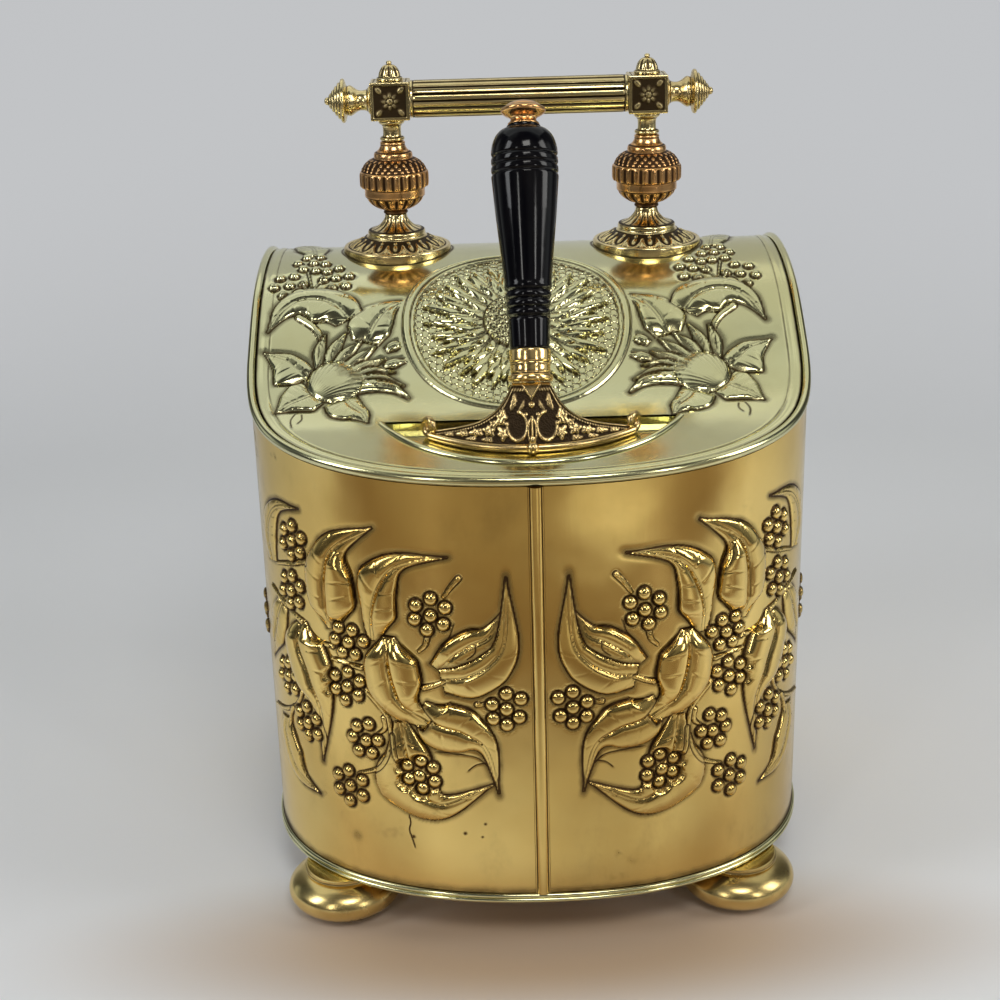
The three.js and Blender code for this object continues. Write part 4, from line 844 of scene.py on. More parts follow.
def lid_sheet(material):
    a = np.linspace(math.pi / 2, 0, 150)
    bow = -(BOW_DEPTH + LID_EDGE) * np.sin(a) ** (2 / BOW_POWER)
    middle = stations((SLOT_BACK_Y, 112, 0.62), (112, SIDE_END, 1.6))
    c = np.linspace(0, math.pi / 2, 14)[1:]
    corner = SIDE_END + (CORNER_RADIUS + LID_EDGE) * np.sin(c)
    y = np.r_[bow[bow < SLOT_BACK_Y - 1.4], middle, corner]
    share = stations((-1, -0.97, 0.006), (-0.97, 0.9, 0.0046), (0.9, 0.97, 0.006), (0.97, 1, 0.006))
    x = np.maximum(lid_half_width(y), 0.5)[:, None] * share
    y = np.repeat(y[:, None], len(share), 1)
    # Points beside the slot are moved onto its outline.
    arc = np.hypot(x, y - SLOT_CENTRE_Y) - SLOT_RADIUS
    beside = (np.abs(arc) < 0.55) & (y < SLOT_BACK_Y + 0.01)
    grow = np.where(beside, SLOT_RADIUS / (arc + SLOT_RADIUS), 1.0)
    x = x * grow
    moved = beside & (np.abs(y - SLOT_BACK_Y) > 0.01)
    y = np.where(moved, SLOT_CENTRE_Y + (y - SLOT_CENTRE_Y) * grow, y)
    work = lid_work(x, lid_run(y))
    inset = edge_distance(x, y)
    work.height += 0.5 * bump(inset - 4.5, 1.4) - 0.3 * bump(inset - 7.2, 0.6)
    rim_line = 0.55 * bump(inset - 7.2, 0.7) + 0.7 * bump(inset, 0.9)
    work.hollow = np.maximum(work.hollow, rim_line)
    z, slope = lid_height(y), lid_slope(y)
    top = stacked(x, y - np.sin(slope) * work.height, z + np.cos(slope) * work.height)
    under = stacked(x, y, z - SHEET / np.cos(slope))
    skin = Skin().sheet(top, under, 5, 6, hollow=work.hollow, raised=work.raised,
                        stipple=work.stipple)

    def in_slot(p):
        out = np.hypot(p[:, 0], p[:, 1] - SLOT_CENTRE_Y)
        return (out < SLOT_RADIUS - 0.05) & (p[:, 1] < SLOT_BACK_Y)

    skin.piece("embossed_lid", "lid", material, "lid_brass", "lid_sheet", drop=in_slot)


def edge_distance(x, y):
    """About how far a place on the lid lies inside the edge of its sheet."""
    px, py = half_plan(LID_EDGE, 90, 60, 14)
    near = (np.abs(x) > lid_half_width(y) - 40) | (y < -70) | (y > 160)
    ax, ay = np.abs(x[near]), y[near]
    found = SIDE_LENGTH + LID_EDGE - ay
    for i in range(len(px) - 1):
        ex, ey = px[i + 1] - px[i], py[i + 1] - py[i]
        t = np.clip(((ax - px[i]) * ex + (ay - py[i]) * ey) / (ex * ex + ey * ey), 0, 1)
        found = np.minimum(found, np.hypot(ax - px[i] - t * ex, ay - py[i] - t * ey))
    distance = np.full(x.shape, FAR)
    distance[near] = found
    return distance


def lid_rim(material):
    """Wired edge, from the hinge's one end round the front to its other end."""
    turns = 2 * math.pi * (np.arange(18) + 0.5) / 18

    def edge(offset):
        x, y = half_plan(offset)
        x, y = np.r_[x, HINGE_END], np.r_[y, SIDE_LENGTH + offset]
        return np.r_[-x[::-1], x[1:]], np.r_[y[::-1], y[1:]]

    y = edge(RIM_OFFSET)[1]
    middle, half = lid_height(y) - 1, RIM_RADIUS / np.cos(lid_slope(y))
    rings = np.stack([
        stacked(*edge(RIM_OFFSET + RIM_FLAT * RIM_RADIUS * math.cos(turn)),
                middle + half * math.sin(turn))
        for turn in turns
    ], 1)
    # The lower half of the wired edge is darkened: painted shade under the bead.
    under = ease(-0.2, -0.9, np.sin(turns))
    seat = bump(np.mod(turns - math.radians(200) + math.pi, 2 * math.pi) - math.pi, 0.35)
    Skin().grid(rings, close_u=True, flip=True, hollow=0.5 * under + 0.4 * seat).piece(
        "wired_edge", "lid", material, "lid_brass", "lid_rim")


def slot_bead(material):
    """Half-round bead along the slot's front, thinner towards its ends."""
    half = math.acos((SLOT_RADIUS - SLOT_SPAN) / SLOT_RADIUS)
    bead = 1.9
    swing = np.linspace(-half, half, 140)[:, None]
    turn = swing - math.pi / 2
    across = np.linspace(0, math.pi, 11)
    radius = SLOT_RADIUS + bead + bead * np.cos(across)
    x = radius * np.cos(turn)
    y = SLOT_CENTRE_Y + radius * np.sin(turn)
    rise = bead * np.sin(across) * np.minimum(1, 0.35 + 4 * (half - np.abs(swing)))
    dark = 0.8 * (across < 0.2) + 0.8 * (across > 2.9)
    Skin().grid(stacked(x, y, lid_height(y) + 0.1 + rise), flip=True, hollow=dark).piece(
        "slot_bead_turned", "lid", material, "lid_brass", "slot_bead")


def base_moulding(material):
    """Two wires, one on the other, under the wall."""
    turns = np.linspace(-math.pi / 2, math.pi / 2, 9)
    profile = [[-4, 0]]
    for k in (1, 3):
        for turn in turns:
            out = BASE_OUT - BASE_WIRE + BASE_WIRE * math.cos(turn)
            profile.append([out, k * BASE_WIRE + BASE_WIRE * math.sin(turn) * 0.96])
    profile.append([-4, 4 * BASE_WIRE])
    rings = []
    for offset, height in profile:
        x, y = half_plan(offset, 140, 60, 16)
        x, y = np.r_[x, -x[1:][::-1]], np.r_[y, y[1:][::-1]]
        rings.append(stacked(x, y, BASE_BOTTOM + height))
    dark = [0.6] + [0.8 * (abs(turn) > 1.3) for turn in turns] * 2 + [0.6]
    Skin().grid(np.stack(rings, 1), close_u=True, close_v=True, hollow=np.array(dark)).piece(
        "base_wires", "box", material, "lid_brass", "base_moulding")


def seam_strip(material):
    """Strip over the front seam, a rib between two narrow flanges."""
    x = np.linspace(-4.6, 4.6, 27)
    rise = np.maximum(2.6 * dome(x / 3.3), 0.7 * (1 - ease(4.2, 4.6, np.abs(x))))
    z = np.r_[WALL_BOTTOM, np.linspace(37, 300, 60), 300.3][:, None]
    dark = 0.9 * bump(np.abs(x) - 3.35, 0.35) + 0.7 * bump(np.abs(x) - 4.6, 0.3)
    skin = Skin().grid(stacked(x, -BOW_DEPTH - 0.25 - rise, z), hollow=dark)
    skin.grid(stacked(x[[0, -1]], -BOW_DEPTH - 0.2, z[[0, -1]]), flip=True)
    skin.piece("seam_rib", "box", material, "wall_brass", "seam_strip")


# ---- Turned and cast pieces ---------------------------------------------------------------


def bun_foot(name, x, y, material):
    """Flattened ball on a small foot, with a turned cap and a stud into the box."""
    ball = 13.5
    profile = [[0, 0], [12, 0]]
    for turn in np.radians(np.linspace(-90, 66, 26)):
        profile.append([14 + 22 * math.cos(turn), ball + ball * math.sin(turn)])
    profile += [[24.6, 26.4], [24.6, 26.9], [24.2, 27.4], [24.4, 28.2], [24.4, 29.2], [24.0, 29.7],
                [3, 29.7]]

    def wear(turn, height, radius):
        # A dark groove under the cap, and darker towards the bottom of the ball.
        groove_and_base_dark = bump(height - 27.3, 0.5) + 0.5 * ease(4, 0.5, height)
        return np.zeros(radius.shape), {"hollow": 0.7 * groove_and_base_dark, "raised": ease(8, 22, height) * 0.6}

    skin = Skin()
    lathe(skin, profile, 72, 0.9, 1, carve=wear)
    lathe(skin, [[3, 29.7], [3, 38.8], [0, 38.8]], 16, 2, 0)
    skin.piece(f"bun_{name}", "box", material, "foot_brass", f"foot_{name}",
               moved=lambda p: p + np.array([x, y, 0]))


POST_Z = float(lid_height(POST_Y))
BAR_Z = POST_Z + CUBE_BOTTOM + CUBE / 2


def standing(side):
    return lambda p: p + np.array([side * POST_X, POST_Y, POST_Z])


def post_foot(side, hand, material):
    """Cast foot: rim ring, border of scallops, collar and fluted neck."""
    profile = [[2.9, -4.6], [33, -8.6], [36, -8.6], [36, 2.4], [35.6, 3.4], [34.4, 3.8],
               [33.2, 3.6], [32.6, 2.9],
               [31.6, 3.0], [28, 5.2], [24, 7.4], [21.5, 8.9], [20.6, 9.0], [20.2, 10.0],
               [19.2, 10.6], [19.2, 13.2],
               [18.6, 14.0], [17.6, 14.3], [14.5, 15.2], [11.5, 16.9], [9.2, 19.3], [7.6, 21.8],
               [7.3, 24.2], [6.6, 24.6], [2.8, 24.6]]

    turn, height, radius = turned(profile, 224, 0.55, 1)
    # Border of arches, with a drop and a dot in each and a dart between them.
    border = (radius > 21.2) & (radius < 32.4) & (height > 2.7) & (height < 9.1)
    run = radius - 21.5
    off = off_centre(turn, 16) * radius
    arch = np.hypot(off / 5.0, (run - 3.21) / 7.6)
    up = np.maximum.reduce([
        bump((arch - 1) * 5.2, 0.75) * (run > 2.675),
        bump(np.abs(off) - np.pi / 16 * radius, 1.0) * (run > 3.745),
        bump(off, 1.3) * bump(run - 5.35, 2.6),
        bump(np.hypot(off, run - 1.284), 1.1),
    ]) * border
    hollow = 0.92 * (1 - np.clip(up * 1.5, 0, 1)) * border
    # Flutes of the neck.
    neck = (height > 14.6) & (height < 22.5) & (radius < 17.6)
    wave = np.abs(np.sin(turn * 8))
    depth = 0.9 * (1 - wave) ** 1.4 * ease(14.6, 16.5, height) * ease(22.5, 20, height)
    hollow = np.where(neck, 0.9 * (1 - wave) ** 1.2, hollow)
    hollow = np.maximum.reduce([
        hollow,
        0.85 * bump(height - 14.2, 0.45) * (radius > 16),
        0.85 * bump(height - 9.2, 0.45) * (radius > 19),
        0.8 * bump(radius - 32.6, 0.5) * (height > 2),
    ])
    radius = radius - depth * neck
    height = height + 0.9 * up
    x, y = radius * np.cos(turn), radius * np.sin(turn)
    # The underside follows the lid.
    lid_z = lid_height(POST_Y + y) - POST_Z + FIT_GAP / np.cos(lid_slope(POST_Y + y))
    skin = Skin().grid(stacked(x, y, np.maximum(height, lid_z)), close_u=True, hollow=hollow,
                       raised=np.clip(up, 0, 1))
    skin.piece(f"cast_foot_{hand}", "lid", material, "turned_brass", f"post_foot_{hand}",
               moved=standing(side))


def post_bulb(side, hand, material):
    """Coppered bulb: gadrooned bowl, band, gadrooned belly, beaded dome and ring."""
    profile = [[2.9, 24.9], [7.9, 24.9], [8.2, 26.0], [7.4, 26.9], [8.0, 27.6], [12.0, 28.8],
               [15.8, 31.2], [18.4, 34.0],
               [19.2, 36.2], [20.0, 36.6], [20.0, 42.0], [20.4, 42.4], [22.6, 42.9], [23.0, 44.6],
               [23.0, 51.0], [22.6, 52.8],
               [21.6, 53.4], [20.9, 54.0], [20.4, 55.4], [18.6, 58.0], [15.8, 60.3], [13.2, 61.2],
               [12.7, 61.6], [12.9, 63.2],
               [12.4, 65.2], [11.2, 65.7], [9.4, 67.2], [8.2, 69.6], [8.0, 70.6], [8.4, 71.4],
               [7.8, 72.4], [6.6, 72.6], [2.9, 72.6]]

    def carve(turn, height, radius):
        # Gadroons of the bowl and of the belly.
        low = (height > 28.2) & (height < 36.3) & (radius < 19.6)
        lobes = np.abs(np.sin(turn * 8.5))
        window = ease(27.6, 30, height) * ease(36.4, 35.2, height) * low
        more = -1.5 * (1 - lobes) ** 1.3 * window
        hollow = (1 - lobes) ** 0.9 * window
        belly = (height > 42.2) & (height < 53.4) & (radius > 20.5)
        narrow = np.abs(np.sin(turn * 12))
        window = ease(42.2, 43.6, height) * ease(53.2, 51.4, height) * belly
        more += (0.15 - 1.5 * (1 - narrow) ** 1.1) * window - 0.1 * belly
        hollow = np.maximum(hollow, 0.95 * (1 - narrow) ** 0.9 * window)
        # Three tiers of pearls on the dome.
        on_dome = (height > 53.9) & (height < 61.0)
        tiers = (height - 54.6) / 2.05
        tier = np.round(tiers)
        count = np.where(tier < 1, 30, np.where(tier < 2, 26, 22))
        phase = turn * count / (2 * math.pi) + 0.5 * np.mod(tier, 2)
        off = (phase - np.round(phase)) * 2 * math.pi / count * radius
        pearl = dome(np.hypot(off, (tiers - tier) * 2.05) / 1.15)
        more += 0.75 * pearl * on_dome
        hollow = np.maximum(hollow, 0.9 * (1 - pearl) * on_dome)
        for level in (27.0, 36.4, 42.3, 53.7, 61.3, 65.7, 70.4):
            hollow = np.maximum(hollow, 0.8 * bump(height - level, 0.45) * (radius > 3))
        hollow = np.maximum(hollow, 0.6 * (height < 26.8))
        return more, {"hollow": hollow, "raised": narrow**2 * belly}

    skin = Skin()
    lathe(skin, profile, 238, 0.5, 1, carve=carve)
    skin.piece(f"gadrooned_bulb_{hand}", "lid", material, "copper", f"post_bulb_{hand}",
               moved=standing(side))


def post_stem(side, hand, material):
    profile = [[2.9, 72.9], [6.6, 72.9], [8.0, 73.4], [8.2, 74.3], [7.9, 75.1], [6.6, 75.5],
               [6.0, 76.4], [5.9, 80.0],
               [6.2, 82.4], [6.9, 83.4], [7.8, 83.9], [8.6, 84.8], [8.6, 86.2], [8.0, 86.8],
               [2.9, 86.8]]

    def carve(turn, height, radius):
        dark = np.maximum.reduce([bump(height - h, 0.35) for h in (75.5, 83.2, 72.9)])
        return np.zeros(radius.shape), {"hollow": 0.8 * dark}

    skin = Skin()
    lathe(skin, profile, 64, 0.4, 1, carve=carve)
    skin.piece(f"stem_{hand}", "lid", material, "turned_brass", f"post_stem_{hand}",
               moved=standing(side))


def rosette_field(a, b):
    """Rosette of eight petals with a leaf in each corner, on a field sunk inside a frame."""
    edge = np.maximum(np.abs(a) / (CUBE_WIDTH / 2), np.abs(b) / (CUBE / 2))
    field = 1 - ease(0.80, 0.84, edge)
    d = np.hypot(a, b)
    petals = np.abs(np.cos(4 * np.arctan2(b, a)))
    flower = dome(d / (4.4 + 1.9 * petals)) * (0.55 + 0.45 * petals) - 0.7 * bump(d - 2.3, 0.4)
    diagonal = 1.414
    along, across = (np.abs(a) + np.abs(b)) / diagonal, (np.abs(a) - np.abs(b)) / diagonal
    leaf = dome(np.hypot((along - 10.2) / 3.0, across / 1.9))
    up = np.maximum.reduce([flower, dome(d / 1.8), leaf])
    dark = np.clip(0.9 * field - 0.62 * up * field, 0, 1) + 0.5 * bump((edge - 0.79) * 12, 0.35)
    return (0.7 * up - 0.75) * field, np.clip(dark, 0, 1)


def post_cube(side, hand, material):
    """Cube with rounded edges, and a rosette on its front and back."""
    half = np.array([CUBE_WIDTH / 2, CUBE / 2, CUBE / 2])
    rounding = 0.7
    line = np.linspace(-1, 1, 61)
    line = np.sign(line) * np.abs(line) ** 0.9
    skin = Skin()
    for axis, (u_axis, v_axis) in enumerate([(1, 2), (0, 2), (0, 1)]):
        for sign in (-1, 1):
            a, b = np.meshgrid(line * half[u_axis], line * half[v_axis])
            p = np.zeros(a.shape + (3,))
            p[..., u_axis], p[..., v_axis], p[..., axis] = a, b, sign * half[axis]
            core = np.clip(p, rounding - half, half - rounding)
            out = p - core
            out /= np.maximum(np.linalg.norm(out, axis=-1, keepdims=True), 1e-6)
            p = core + rounding * out
            if axis == 1:
                height, dark = rosette_field(a, b)
                p[..., 1] += sign * height
            else:
                reach = np.maximum(np.abs(a) / half[u_axis], np.abs(b) / half[v_axis])
                dark = 0.7 * bump((reach - 0.82) * 12, 0.5)
            skin.grid(p, flip=(sign > 0) == (axis == 1), hollow=dark)
    skin.piece(f"rosette_cube_{hand}", "lid", material, "turned_brass", f"post_cube_{hand}",
               moved=lambda p: p + np.array([side * POST_X, POST_Y, BAR_Z]))


def top_finial(side, hand, material):
    profile = [[0, 111.8], [8.6, 111.8], [8.7, 112.2], [8.7, 113.0], [8.2, 113.6], [7.2, 113.9],
               [7.4, 114.4], [7.2, 116.0],
               [6.4, 118.2], [5.0, 120.2], [3.2, 121.4], [1.7, 121.8], [1.5, 122.2], [1.9, 122.8],
               [1.7, 123.6], [0.9, 124.1], [0, 124.2]]

    def carve(turn, height, radius):
        ribs = np.abs(np.sin(turn * 4))
        window = ease(114.2, 115.2, height) * ease(121.6, 120.4, height)
        more = -0.7 * (1 - ribs) ** 1.2 * window
        dark = np.maximum(0.9 * (1 - ribs) * window, 0.8 * bump(height - 113.9, 0.35))
        return more, {"hollow": np.maximum(dark, 0.8 * bump(height - 121.9, 0.3))}

    skin = Skin()
    lathe(skin, profile, 96, 0.3, 1, carve=carve)
    skin.piece(f"ribbed_finial_{hand}", "lid", material, "turned_brass", f"top_finial_{hand}",
               moved=standing(side))


def side_finial(side, hand, material):
    """Turned along the bar: neck, cup, thin flange and a stepped cone of rings."""
    profile = [[0, 0.3], [9.2, 0.3], [9.0, 1.2], [7.2, 2.2], [6.4, 4.4], [6.3, 7.0], [7.0, 9.0],
               [8.8, 11.4], [9.8, 13.0],
               [9.8, 14.4], [9.2, 15.2], [9.8, 15.9], [13.6, 17.0], [14.2, 17.7], [14.2, 18.9],
               [13.4, 19.6], [11.6, 19.9],
               [11.9, 20.9], [11.2, 21.7], [9.4, 21.9], [9.6, 22.9], [8.8, 23.7], [7.2, 23.9],
               [7.3, 24.8], [6.5, 25.6],
               [5.0, 25.8], [5.0, 26.6], [4.0, 27.4], [2.6, 27.7], [2.5, 28.5], [2.2, 29.6],
               [1.2, 30.4], [0, 30.6]]

    def carve(turn, height, radius):
        dark = np.maximum.reduce([bump(height - h, 0.32) for h in (2.2, 15.2, 19.9, 21.9, 23.9,
                                                                   25.8, 27.7)])
        return np.zeros(radius.shape), {"hollow": 0.85 * dark}

    skin = Skin()
    lathe(skin, profile, 72, 0.3, 1, carve=carve)

    def lie(p):
        x = side * (POST_X + CUBE_WIDTH / 2 + p[:, 2])
        return stacked(x, POST_Y + p[:, 1] * side, BAR_Z + p[:, 0])

    skin.piece(f"stepped_finial_{hand}", "lid", material, "turned_brass", f"side_finial_{hand}",
               moved=lie)


def handle_bar(material):
    half = POST_X - CUBE_WIDTH / 2 - FIT_GAP
    profile = [[0, -half], [11.9, -half], [12.1, -half + 0.5], [12.1, -half + 1.4], [11.6, -half + 2.0],
               [11.6, half - 2.0], [12.1, half - 1.4], [12.1, half - 0.5], [11.9, half], [0, half]]

    def carve(turn, height, radius):
        reed = np.abs(np.sin(turn * 8 + 0.2))
        window = ease(half - 1.6, half - 3.2, np.abs(height))
        more = window * (0.45 - 1.55 * (1 - dome(1 - reed)))
        dark = window * np.clip(1.25 * (1 - reed) ** 1.1, 0, 1)
        dark = dark + 0.8 * bump(np.abs(height) - half + 1.9, 0.5)
        return np.where(radius > 8, more, 0), {"hollow": dark}

    skin = Skin()
    lathe(skin, profile, 256, 1.0, 0, carve=carve)
    skin.piece("reeded_bar", "lid", material, "turned_brass", "handle_bar",
               moved=lambda p: stacked(p[:, 2], POST_Y + p[:, 1], BAR_Z + p[:, 0]))


# ---- Scoop --------------------------------------------------------------------------------

AXIS = np.array([0, math.sin(LEAN), math.cos(LEAN)])


def mount_seat(y):
    """Middle of the mount's rim above the recess it stands in."""
    return lid_height(y) - TRAY_DEPTH + FIT_GAP + MOUNT_WIRE


MOUNT_Z = float(mount_seat(MOUNT_Y))


def mount_back(x):
    return MOUNT_RADIUS - np.sqrt(MOUNT_RADIUS**2 - x**2)


def rim_point(x):
    y = MOUNT_Y + mount_back(x)
    return stacked(x, y, mount_seat(y))


def inward(x):
    """Level direction from the mount's rim to the middle of its curve."""
    return stacked(-x / MOUNT_RADIUS, np.sqrt(1 - (x / MOUNT_RADIUS) ** 2), 0.0)


def on_handle(p):
    """From the handle's own axes to its lean over the lid."""
    c, s = math.cos(LEAN), math.sin(LEAN)
    y = MOUNT_Y + c * p[:, 1] + s * p[:, 2]
    return stacked(p[:, 0], y, MOUNT_Z - s * p[:, 1] + c * p[:, 2])


def mount_relief(x, h, tall):
    """Leafage of the mount, at heights h over its rim where its upper edge is tall."""
    a = np.abs(x)
    # Cord and a row of pearls along the upper edge.
    away = (tall - h) * np.minimum(1, 0.55 + 0.45 * ease(14, 26, a))
    run = (a * 1.12 + 0.55 * h * (a < 16)) / 1.7
    pearls = dome(np.hypot((run - np.round(run)) * 1.7, away - 2.2) / 0.8)
    up = np.maximum(0.9 * bump(away - 0.5, 0.55), 0.8 * pearls)

    def lobe(cu, cv, wide, high, lift, tilt=0.0, frill=0.0):
        du, dv = a - cu, h - cv
        p = du * math.cos(tilt) + dv * math.sin(tilt)
        q = dv * math.cos(tilt) - du * math.sin(tilt)
        gap = np.hypot(p / wide, q / high) / (1 + frill * np.cos(5 * np.arctan2(q, p)))
        return lift * dome(gap) * (1 - 0.35 * bump(p, 0.35) * (frill > 0))

    # Plate that points down from the ferrule, and the bead under it.
    inside = 6.8 * (h - 27.6) / 10.6 - a
    up = np.where((inside > 0) & (h > 27.6), 0.5 + 0.7 * np.clip(inside / 1.2, 0, 1), up)
    up = np.maximum(up, lobe(0, 25.3, 1.9, 1.9, 1.7))
    # Two stippled kidneys, each with a scroll round its foot, and the spear between them.
    ring = np.hypot((a - 8.6) / 5.7, (h - 13.0) / 8.2)
    under = (h < 15) | (a < 8.6) & (h < 22)
    up = np.maximum(up, 1.1 * bump((ring - 1) * 6.3, 0.75) * under * (a > 2.2))
    up = np.maximum(up, lobe(3.4, 19.8, 1.2, 1.2, 1.3))
    up = np.maximum(up, lobe(14.4, 14.2, 1.3, 1.3, 1.3))
    up = np.maximum(up, 1.4 * np.clip(1 - a / 0.9, 0, 1) ** 0.5 * (h > 2.5) * (h < 19))
    prong = 2.3 * np.sin(math.pi * np.clip((h - 1.5) / 17, 0, 1)) ** 0.6
    up = np.maximum(up, 1.2 * bump(a - prong, 0.5) * (h > 1.5) * (h < 17))
    # Leaves that run out to the scrolls, and one beside the plate.
    for cu, cv, wide, high, lift, tilt in (
        (10.2, 26.6, 1.7, 5.4, 1.1, 0.25), (5.4, 24.6, 1.2, 3.6, 1.0, 0.5),
        (17.4, 17.0, 2.9, 5.2, 1.5, 0.5),
        (17.0, 8.4, 2.7, 4.2, 1.5, -0.3), (22.0, 13.4, 2.4, 2.2, 1.2, 0.6),
        (24.6, 9.4, 3.5, 3.0, 1.5, 0.2),
        (31.8, 7.8, 4.2, 2.3, 1.4, -0.2), (25.4, 4.4, 3.4, 1.7, 1.1, -0.1),
        (34.6, 4.0, 3.4, 1.3, 1.0, -0.2),
        (39.8, 6.0, 4.0, 1.7, 1.2, -0.25), (47.2, 4.2, 3.2, 1.2, 1.0, -0.3),
    ):
        up = np.maximum(up, lobe(cu, cv, wide, high, lift, tilt, 0.2))
    return up


def scoop_mount(material):
    """Cast crescent: a leafy plate that rises to the handle from a round rim with scrolls."""
    skin = Skin()
    share = np.linspace(-1, 1, 241)
    x = 58 * np.sign(share) * np.abs(share) ** 1.12
    tall = 14 + 24 * np.exp(-np.maximum(0, np.abs(x) - 11) / 9.5) - 0.6 * mount_back(x)
    t = np.linspace(0, 1, 64)[:, None]
    h = t * tall
    relief = mount_relief(x, h, tall)
    away = inward(x)
    # The plate is upright on its rim and square to the handle at its upper edge.
    square = 1.6 * (away @ AXIS)
    thinned = ease(-0.02, 0.04, 1 - t)
    faces = {}
    for face in (-1, 1):
        out = 1.25 + (relief if face < 0 else 0)
        out = out * thinned + 1.2 * (1 - thinned)
        lift = h - face * square * t
        faces[face] = rim_point(x) + away * (face * out)[..., None] + AXIS * lift[..., None]
    front, back = faces[-1], faces[1]
    skin.grid(front, hollow=np.clip(0.9 - 1.1 * relief, 0, 1), raised=np.clip(relief, 0, 1),
              stipple=np.clip(1 - relief, 0, 1))
    skin.grid(back, flip=True, hollow=0.5)
    skin.grid(np.stack([front[-1], back[-1]]), hollow=0.1)
    skin.grid(np.stack([front[:, 0], back[:, 0]]), flip=True)
    skin.grid(np.stack([front[:, -1], back[:, -1]]))
    # Round rim, ending in scrolls that curl up and back.
    along = np.linspace(-60, 60, 121)
    turn = np.radians(np.linspace(9, 400, 52))
    curl = 5.4 - 3.0 * (turn / turn[-1])
    thin = MOUNT_WIRE - 0.9 * (turn / turn[-1])
    scrolls, beside = {}, {}
    for sign in (-1, 1):
        scrolls[sign] = rim_point(60.0 * sign) + stacked(
            sign * 0.6 * curl * np.sin(turn), 0.8 * curl * np.sin(turn), 5.4 - curl * np.cos(turn)
        )
        beside[sign] = np.tile(np.array([-0.8 * sign, 0.55, 0.0]), (len(turn), 1))
    path = np.vstack([scrolls[-1][::-1], rim_point(along), scrolls[1]])
    side = np.vstack([beside[-1], inward(along), beside[1]])
    wire = np.r_[thin[::-1], np.full(len(along), MOUNT_WIRE), thin]
    tube(skin, path, wire, side, 18, raised=0.95)
    # Ball over the middle of the rim, with the spear's foot above it.
    up = np.linspace(-math.pi / 2, math.pi / 2, 15)[:, None]
    around = np.linspace(0, 2 * math.pi, 24, endpoint=False)
    for centre, wide, high in (((0, -3.2, 1.2), 3.7, 3.7), ((0, -2.6, 5.2), 1.9, 3.4)):
        ball = stacked(
            wide * np.cos(up) * np.cos(around), wide * np.cos(up) * np.sin(around), high * np.sin(up)
        )
        skin.grid(ball + rim_point(0.0) + np.array(centre), close_u=True, raised=1.0)
    skin.piece("cast_mount", "scoop", material, "bronze", "scoop_mount")


def scoop_ferrule(material):
    profile = [[2.8, 38.3], [12.4, 38.3], [13.2, 39.2], [13.2, 41.2], [12.6, 42.2], [11.5, 42.6],
               [11.3, 43.4], [11.7, 44.2],
               [11.7, 48.0], [12.0, 48.5], [12.0, 49.1], [11.6, 49.5], [12.0, 49.9], [12.2, 50.6],
               [12.2, 56.4], [11.9, 57.0], [2.8, 57.0]]

    def carve(turn, height, radius):
        seams = ((42.8, 0.6), (49.5, 0.25), (48.3, 0.2))
        dark = np.maximum.reduce([bump(height - level, width) for level, width in seams])
        return np.zeros(radius.shape), {"hollow": 0.75 * dark}

    skin = Skin()
    lathe(skin, profile, 96, 0.35, 1, carve=carve)
    skin.piece("ferrule", "scoop", material, "turned_brass", "scoop_ferrule", moved=on_handle)


def scoop_grip(material):
    """Turned grip: rings cut above the ferrule and below the shoulder, and a domed end."""
    bottom, top = 57.3, 188.0
    shoulder = top - 16.5
    heights = np.linspace(bottom + 1.2, shoulder, 90)
    swell = np.interp((heights - bottom) / (shoulder - bottom), [0, 0.16, 0.30, 0.5, 0.7, 0.88, 1.0],
                      [11.6, 12.3, 13.4, 15.6, 18.0, 19.7, 19.5])
    profile = [[2.8, bottom], [11.2, bottom], [11.6, bottom + 0.6], *zip(swell, heights)]
    for turn in np.radians(np.linspace(4, 84, 14)):
        profile.append([9.6 + 9.9 * math.cos(turn), shoulder + 14.8 * math.sin(turn)])
    profile += [[9.9, top - 1.2], [9.9, top - 0.3], [9.4, top], [2.8, top]]

    def carve(turn, height, radius):
        more = np.zeros(radius.shape)
        for level in bottom + 18.5 + 5.1 * np.arange(4):
            more -= 0.95 * bump(height - level, 0.75)
            more += 0.35 * bump(height - level - 2.5, 1.6)
        for level in shoulder - 12 + 5.1 * np.arange(3):
            more -= 0.85 * bump(height - level, 0.7)
        return np.where(radius > 5, more, 0), {}

    skin = Skin()
    lathe(skin, profile, 96, 0.55, 0, carve=carve)
    skin.piece("turned_grip", "scoop", material, "ebonised_wood", "scoop_grip", moved=on_handle)


def end_button(material):
    b = 188.3
    profile = [[0, b], [9.2, b], [9.3, b + 0.8], [8.6, b + 1.5], [7.6, b + 2.4], [7.5, b + 3.6],
               [8.4, b + 4.8],
               [11.2, b + 6.2], [12.8, b + 7.4], [13.2, b + 8.6], [12.8, b + 9.6], [11.6, b + 10.2],
               [11.0, b + 10.6],
               [9.6, b + 11.9], [7.2, b + 13.2], [3.6, b + 14.2], [0, b + 14.4]]

    def carve(turn, height, radius):
        groove = 0.8 * bump(height - b - 10.4, 0.35) * (radius > 9)
        dark = np.maximum(bump(height - b - 1.6, 0.4), groove)
        return np.zeros(radius.shape), {"hollow": 0.7 * dark}

    skin = Skin()
    lathe(skin, profile, 84, 0.35, 1, carve=carve)
    skin.piece("end_button", "scoop", material, "copper", "scoop_end_button", moved=on_handle)


# ---- Finishes -----------------------------------------------------------------------------


class Value:
    """An output socket that takes part in plain arithmetic."""

    def __init__(self, finish, socket):
        self.finish, self.socket = finish, socket

    def _with(self, operation, *others):
        return self.finish.node("Math", {"operation": operation}, *others)

    def __add__(self, other):
        return self._with("ADD", self, other)

    def __mul__(self, other):
        return self._with("MULTIPLY", self, other)

    def __sub__(self, other):
        return self._with("SUBTRACT", self, other)

    def __rsub__(self, other):
        return self._with("SUBTRACT", other, self)

    def __pow__(self, other):
        return self._with("POWER", self, other)


